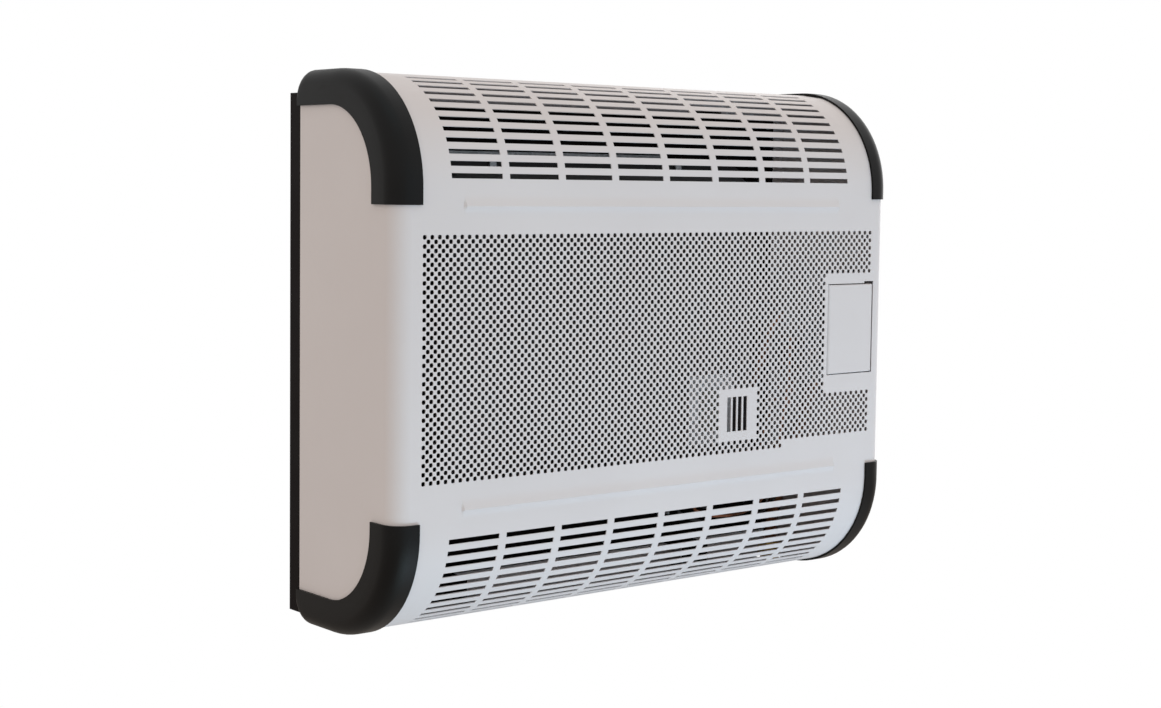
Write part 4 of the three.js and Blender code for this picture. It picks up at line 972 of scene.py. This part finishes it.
def controlKnob():
    bm = bmesh.new()
    profile = [
        (0, -156.9),
        (9, -156.9),
        (12.2, -157.2),
        (13.4, -157.2),
        (14.3, -156.7),
        (14.9, -155.6),
        (15, -152.2),
        (14.7, -151.3),
        (14, -151),
        (knob["boreRadius"], -151),
        (knob["boreRadius"], knob["boreEnd"]),
        (0, knob["boreEnd"]),
    ]
    turned(bm, profile, knobMiddle, alongY, knob["steps"])
    for vert in bm.verts:
        away = vert.co - knobMiddle
        away.y = 0
        if away.length > knob["fluteInner"] * mm:
            wave = max(math.cos(knob["flutes"] * math.atan2(away.z, away.x)), 0)
            vert.co -= away.normalized() * knob["fluteDepth"] * mm * wave
    roundedBox(bm, knobMiddle, grip, 3)
    finishPiece("controlKnob", bm, "black_plastic", "knob", ["control_knob"], 40, "knobPlastic")


def knobPointer():
    bm = bmesh.new()
    roundedBox(bm, knobMiddle, pointer, 1)
    finishPiece("knobPointer", bm, "white_enamel", "knob")


def igniter():
    middle = middleOf("igniter_button", alongY)
    collar = bmesh.new()
    profile = [
        (6.4, -148.6),
        (7, -149.3),
        (10.7, -149.3),
        (11.5, -148.5),
        (11.5, -146.3),
        (9, -146.3),
        (9, -112.5),
        (8.5, -112),
        (0, -112),
        (0, -114.8),
        (6.4, -114.8),
        (6.4, -148.6),
    ]
    turned(collar, profile, middle, alongY)
    finishPiece("igniterCollar", collar, "black_plastic", "heater", ["igniter_body"], 40, "knobPlastic")
    button = bmesh.new()
    profile = [
        (0, -156.7),
        (2.6, -156.8),
        (4.2, -157.3),
        (5, -157.2),
        (5.7, -156.6),
        (6, -155.6),
        (6, -121.5),
        (5.5, -121),
        (0, -121),
    ]
    turned(button, profile, middle, alongY)
    finishPiece("igniterButton", button, "red_plastic", "button", ["igniter_button"], 40)


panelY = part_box("control_panel")[0].y
inkHeight = 0.12
dot = {"away": 19.2, "degrees": 90, "radius": 1.3}
star = {"away": 20.2, "degrees": 52, "radius": 2.1, "inner": 0.8, "tips": 4}
band = {"inner": 17.8, "start": 18.4, "widening": 3.2, "degrees": 30, "turn": -95, "steps": 19}


def printed(bm, points, away=0, degrees=0):
    # a thin printed mark on the control panel, placed about the knob
    placeX, placeZ = onCircle(away, degrees)
    places = [Vector(((placeX + x) * mm, panelY, (placeZ + z) * mm)) for x, z in points]
    face = bm.faces.new([bm.verts.new(knobMiddle + place) for place in places])
    made = bmesh.ops.extrude_face_region(bm, geom=[face])
    bmesh.ops.translate(bm, vec=(0, -inkHeight * mm, 0), verts=newVerts(made))


def panelMarks():
    # off dot, pilot star, and a band that widens with the flame
    bm = bmesh.new()
    printed(bm, ring(dot["radius"], 18), dot["away"], dot["degrees"])
    corners = 2 * star["tips"]
    radii = [star["inner"] if corner % 2 else star["radius"] for corner in range(corners)]
    tips = [onCircle(radius, 360 * corner / corners) for corner, radius in enumerate(radii)]
    printed(bm, tips, star["away"], star["degrees"])
    shares = [step / band["steps"] for step in range(band["steps"] + 1)]
    turns = [band["degrees"] + band["turn"] * share for share in shares]
    outer = [onCircle(band["start"] + band["widening"] * share, turn) for share, turn in zip(shares, turns)]
    inner = [onCircle(band["inner"], turn) for turn in reversed(turns)]
    printed(bm, outer + inner)
    bmesh.ops.recalc_face_normals(bm, faces=bm.faces)
    finishPiece("panelMarks", bm, "black_plastic", "heater", finish="knobPlastic")


controlKnob()
knobPointer()
igniter()
panelMarks()
print("controls made")


# Flue, screws and gas union

flueMiddle = middleOf("exhaust_tube", alongY)
flueSteps = 96
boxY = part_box("air_box")[0].y / mm  # the air box's front, on which the tube's flange lies
union = {
    "bore": 7.3,
    "foot": 9,  # radii of the thread
    "crest": 9.8,
    "neck": 9.3,
    "firstFoot": 0.4,
    "threads": 6,
    "pitch": 0.9,
    "threaded": 6,  # height of the threaded end
}
nut = {"corner": 13, "degrees": 30, "from": 5, "height": 15}  # radius and place of its first corner


def exhaustTube():
    bm = bmesh.new()
    profile = [
        (36, -54.5),
        (37.3, -54.5),
        (37.3, boxY),
        (45.6, boxY),
        (45.6, boxY + 1.5),
        (37.3, boxY + 1.5),
        (37.3, -9),
        (38, -8.4),
        (38.3, -7.5),
        (38, -6.6),
        (37.3, -6),
        (37.3, 0),
        (36, 0),
        (36, -54.5),
    ]
    turned(bm, profile, flueMiddle, alongY, flueSteps)
    finishPiece("exhaustTube", bm, "flue_steel", "heater", ["exhaust_tube"])


def airCollar():
    bm = bmesh.new()
    profile = [
        (59.8, -24.2),
        (61, -24.2),
        (61, -20.5),
        (66.6, -20.5),
        (66.6, -19),
        (61, -19),
        (61, -3),
        (62.5, -1.5),
        (71.2, -1.5),
        (71.6, -1.1),
        (71.6, 0),
        (61.2, 0),
        (59.8, -1.4),
        (59.8, -24.2),
    ]
    turned(bm, profile, flueMiddle, alongY, flueSteps)
    finishPiece("airCollar", bm, "zinc_steel", "heater", ["air_collar"])


def casingScrew(side):
    node = f"casing_screw_{side}"
    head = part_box(node)[0].z / mm
    bm = bmesh.new()
    profile = [
        (0, head + 1.3),
        (1.5, head + 1.1),
        (1.9, head),
        (2.9, head + 0.15),
        (3.7, head + 0.7),
        (4, head + 1.5),
        (4, head + 2.1),
        (2.1, head + 2.1),
        (2.1, head + 12.4),
        (0.7, head + 14),
        (0, head + 14),
    ]
    turned(bm, profile, middleOf(node, alongZ), alongZ, 32)
    finishPiece(f"casingScrew{side.title()}", bm, "zinc_steel", "heater", [node])


def gasUnion():
    # a hexagon nut over a threaded end
    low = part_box("gas_inlet_union")[0].z / mm
    middle = middleOf("gas_inlet_union", alongZ)
    thread = [(union["bore"], low)]
    for turn in range(union["threads"]):
        foot = low + union["firstFoot"] + turn * union["pitch"]
        thread += [(union["foot"], foot), (union["crest"], foot + union["pitch"] / 2)]
    end = low + union["threaded"]
    thread += [(union["neck"], end), (union["bore"], end), (union["bore"], low)]
    bm = bmesh.new()
    turned(bm, thread, middle, alongZ)
    rims = []
    for points in (ring(union["bore"], 24), ring(nut["corner"], 6, nut["degrees"])):
        rims += outline(bm, [middle + Vector((x, y, low + nut["from"])) * mm for x, y in points])
    filled = bmesh.ops.triangle_fill(bm, use_beauty=True, use_dissolve=False, edges=rims)
    faces = [item for item in filled["geom"] if isinstance(item, bmesh.types.BMFace)]
    made = bmesh.ops.extrude_face_region(bm, geom=faces)
    bmesh.ops.translate(bm, vec=(0, 0, nut["height"] * mm), verts=newVerts(made))
    bmesh.ops.recalc_face_normals(bm, faces=bm.faces)
    finishPiece("gasUnion", bm, "brass", "heater", ["gas_inlet_union"])


exhaustTube()
airCollar()
casingScrew("left")
casingScrew("right")
gasUnion()
print("flue, screws and union made")


# Carried-over nodes


def dressNodes():
    dressed = 0
    for item in frame["record"]["subparts"]:
        node = frame["nodes"][item["node"]]
        if not node.hide_render:
            node.data.materials.clear()
            node.data.materials.append(finishes[slotFinish[item["material_slot"]]])
            dressed += 1
    print("dressed nodes:", dressed)


dressNodes()


# Light, floor and background

light = {
    "surround": (0.9, 0.785, 0.685, 1),
    "floorShade": (0.55, 0.55, 0.55, 1),
    "floorZ": -2.1,
    "floorSize": 30,
}
lamps = {
    "keyLight": {
        "place": (0.6, -3.2, 0.1),
        "aim": (0, -0.1, 0),
        "size": (3, 2.4),
        "power": 6.5,
        "colour": (0.05, 0.6, 1),
    },
    "lowLight": {
        "place": (0.1, -1.9, -1.65),
        "aim": (0, -0.15, -0.1),
        "size": (2, 0.8),
        "power": 18.8,
        "colour": (0.62, 0.9, 1),
    },
    "topLight": {
        "place": (-0.4, -0.8, 2),
        "aim": (0, -0.1, 0.1),
        "size": (1.6, 1.2),
        "power": 2.8,
        "colour": (0.4, 0.85, 1),
    },
    "rimLight": {
        "place": (2.4, 0.8, 0.6),
        "aim": (0.29, -0.15, 0),
        "size": (2.4, 2.4),
        "power": 17,
        "colour": (1, 1, 1),
    },
    "bounceLight": {
        "place": (0.5, -1, -1),
        "aim": (0, -0.15, -0.1),
        "size": (1, 0.6),
        "power": 3.8,
        "colour": (0.65, 0.8, 1),
    },
}


def makeWorld():
    # white to the camera, in reflections and through glass, and a soft warm surround as light
    world = bpy.data.worlds.new("studio")
    world.use_nodes = True
    wiring = Wiring(world.node_tree)
    seen, glossy, clear = (
        wiring.node("ShaderNodeLightPath", {}, {}, ray)
        for ray in ("Is Camera Ray", "Is Glossy Ray", "Is Transmission Ray")
    )
    shown = seen.orMore(glossy).orMore(clear)
    wiring.feed("Background", "Color", wiring.mix(shown, light["surround"], (1, 1, 1, 1)))
    bpy.context.scene.world = world


def areaLamp(name, place, aim, size, power, colour):
    data = bpy.data.lights.new(name, "AREA")
    data.shape = "RECTANGLE"
    data.size, data.size_y = size
    data.energy = power
    data.color = colour
    lamp = bpy.data.objects.new(name, data)
    turn = (Vector(aim) - Vector(place)).to_track_quat("-Z", "Y")
    lamp.matrix_world = Matrix.Translation(place) @ turn.to_matrix().to_4x4()
    bpy.context.scene.collection.objects.link(lamp)


def floorWhite():
    # white to the camera, and a plain floor to the light
    finish = Finish("floorWhite", Roughness=0.9, Specular_IOR_Level=0.1, Base_Color=light["floorShade"])
    glow = finish.node("ShaderNodeEmission", {}, {"Strength": 1})
    seen = finish.node("ShaderNodeLightPath", {}, {}, "Is Camera Ray")
    plain = Signal(finish, finish.tree.nodes["Principled BSDF"].outputs[0])
    blend = finish.node("ShaderNodeMixShader", {}, {0: seen, 1: plain, 2: glow})
    finish.feed("Material Output", "Surface", blend)
    return finish.material


def makeFloor():
    bm = bmesh.new()
    bmesh.ops.create_grid(bm, x_segments=1, y_segments=1, size=light["floorSize"] / 2)
    bmesh.ops.translate(bm, vec=(0, 0, light["floorZ"]), verts=bm.verts)
    mesh = bpy.data.meshes.new("floor")
    bm.to_mesh(mesh)
    bm.free()
    mesh.materials.append(floorWhite())
    floor = bpy.data.objects.new("floor", mesh)
    bpy.context.scene.collection.objects.link(floor)


makeWorld()
for name, values in lamps.items():
    areaLamp(name, **values)
makeFloor()
bpy.context.scene.view_settings.view_transform = "Standard"
print("studio made")
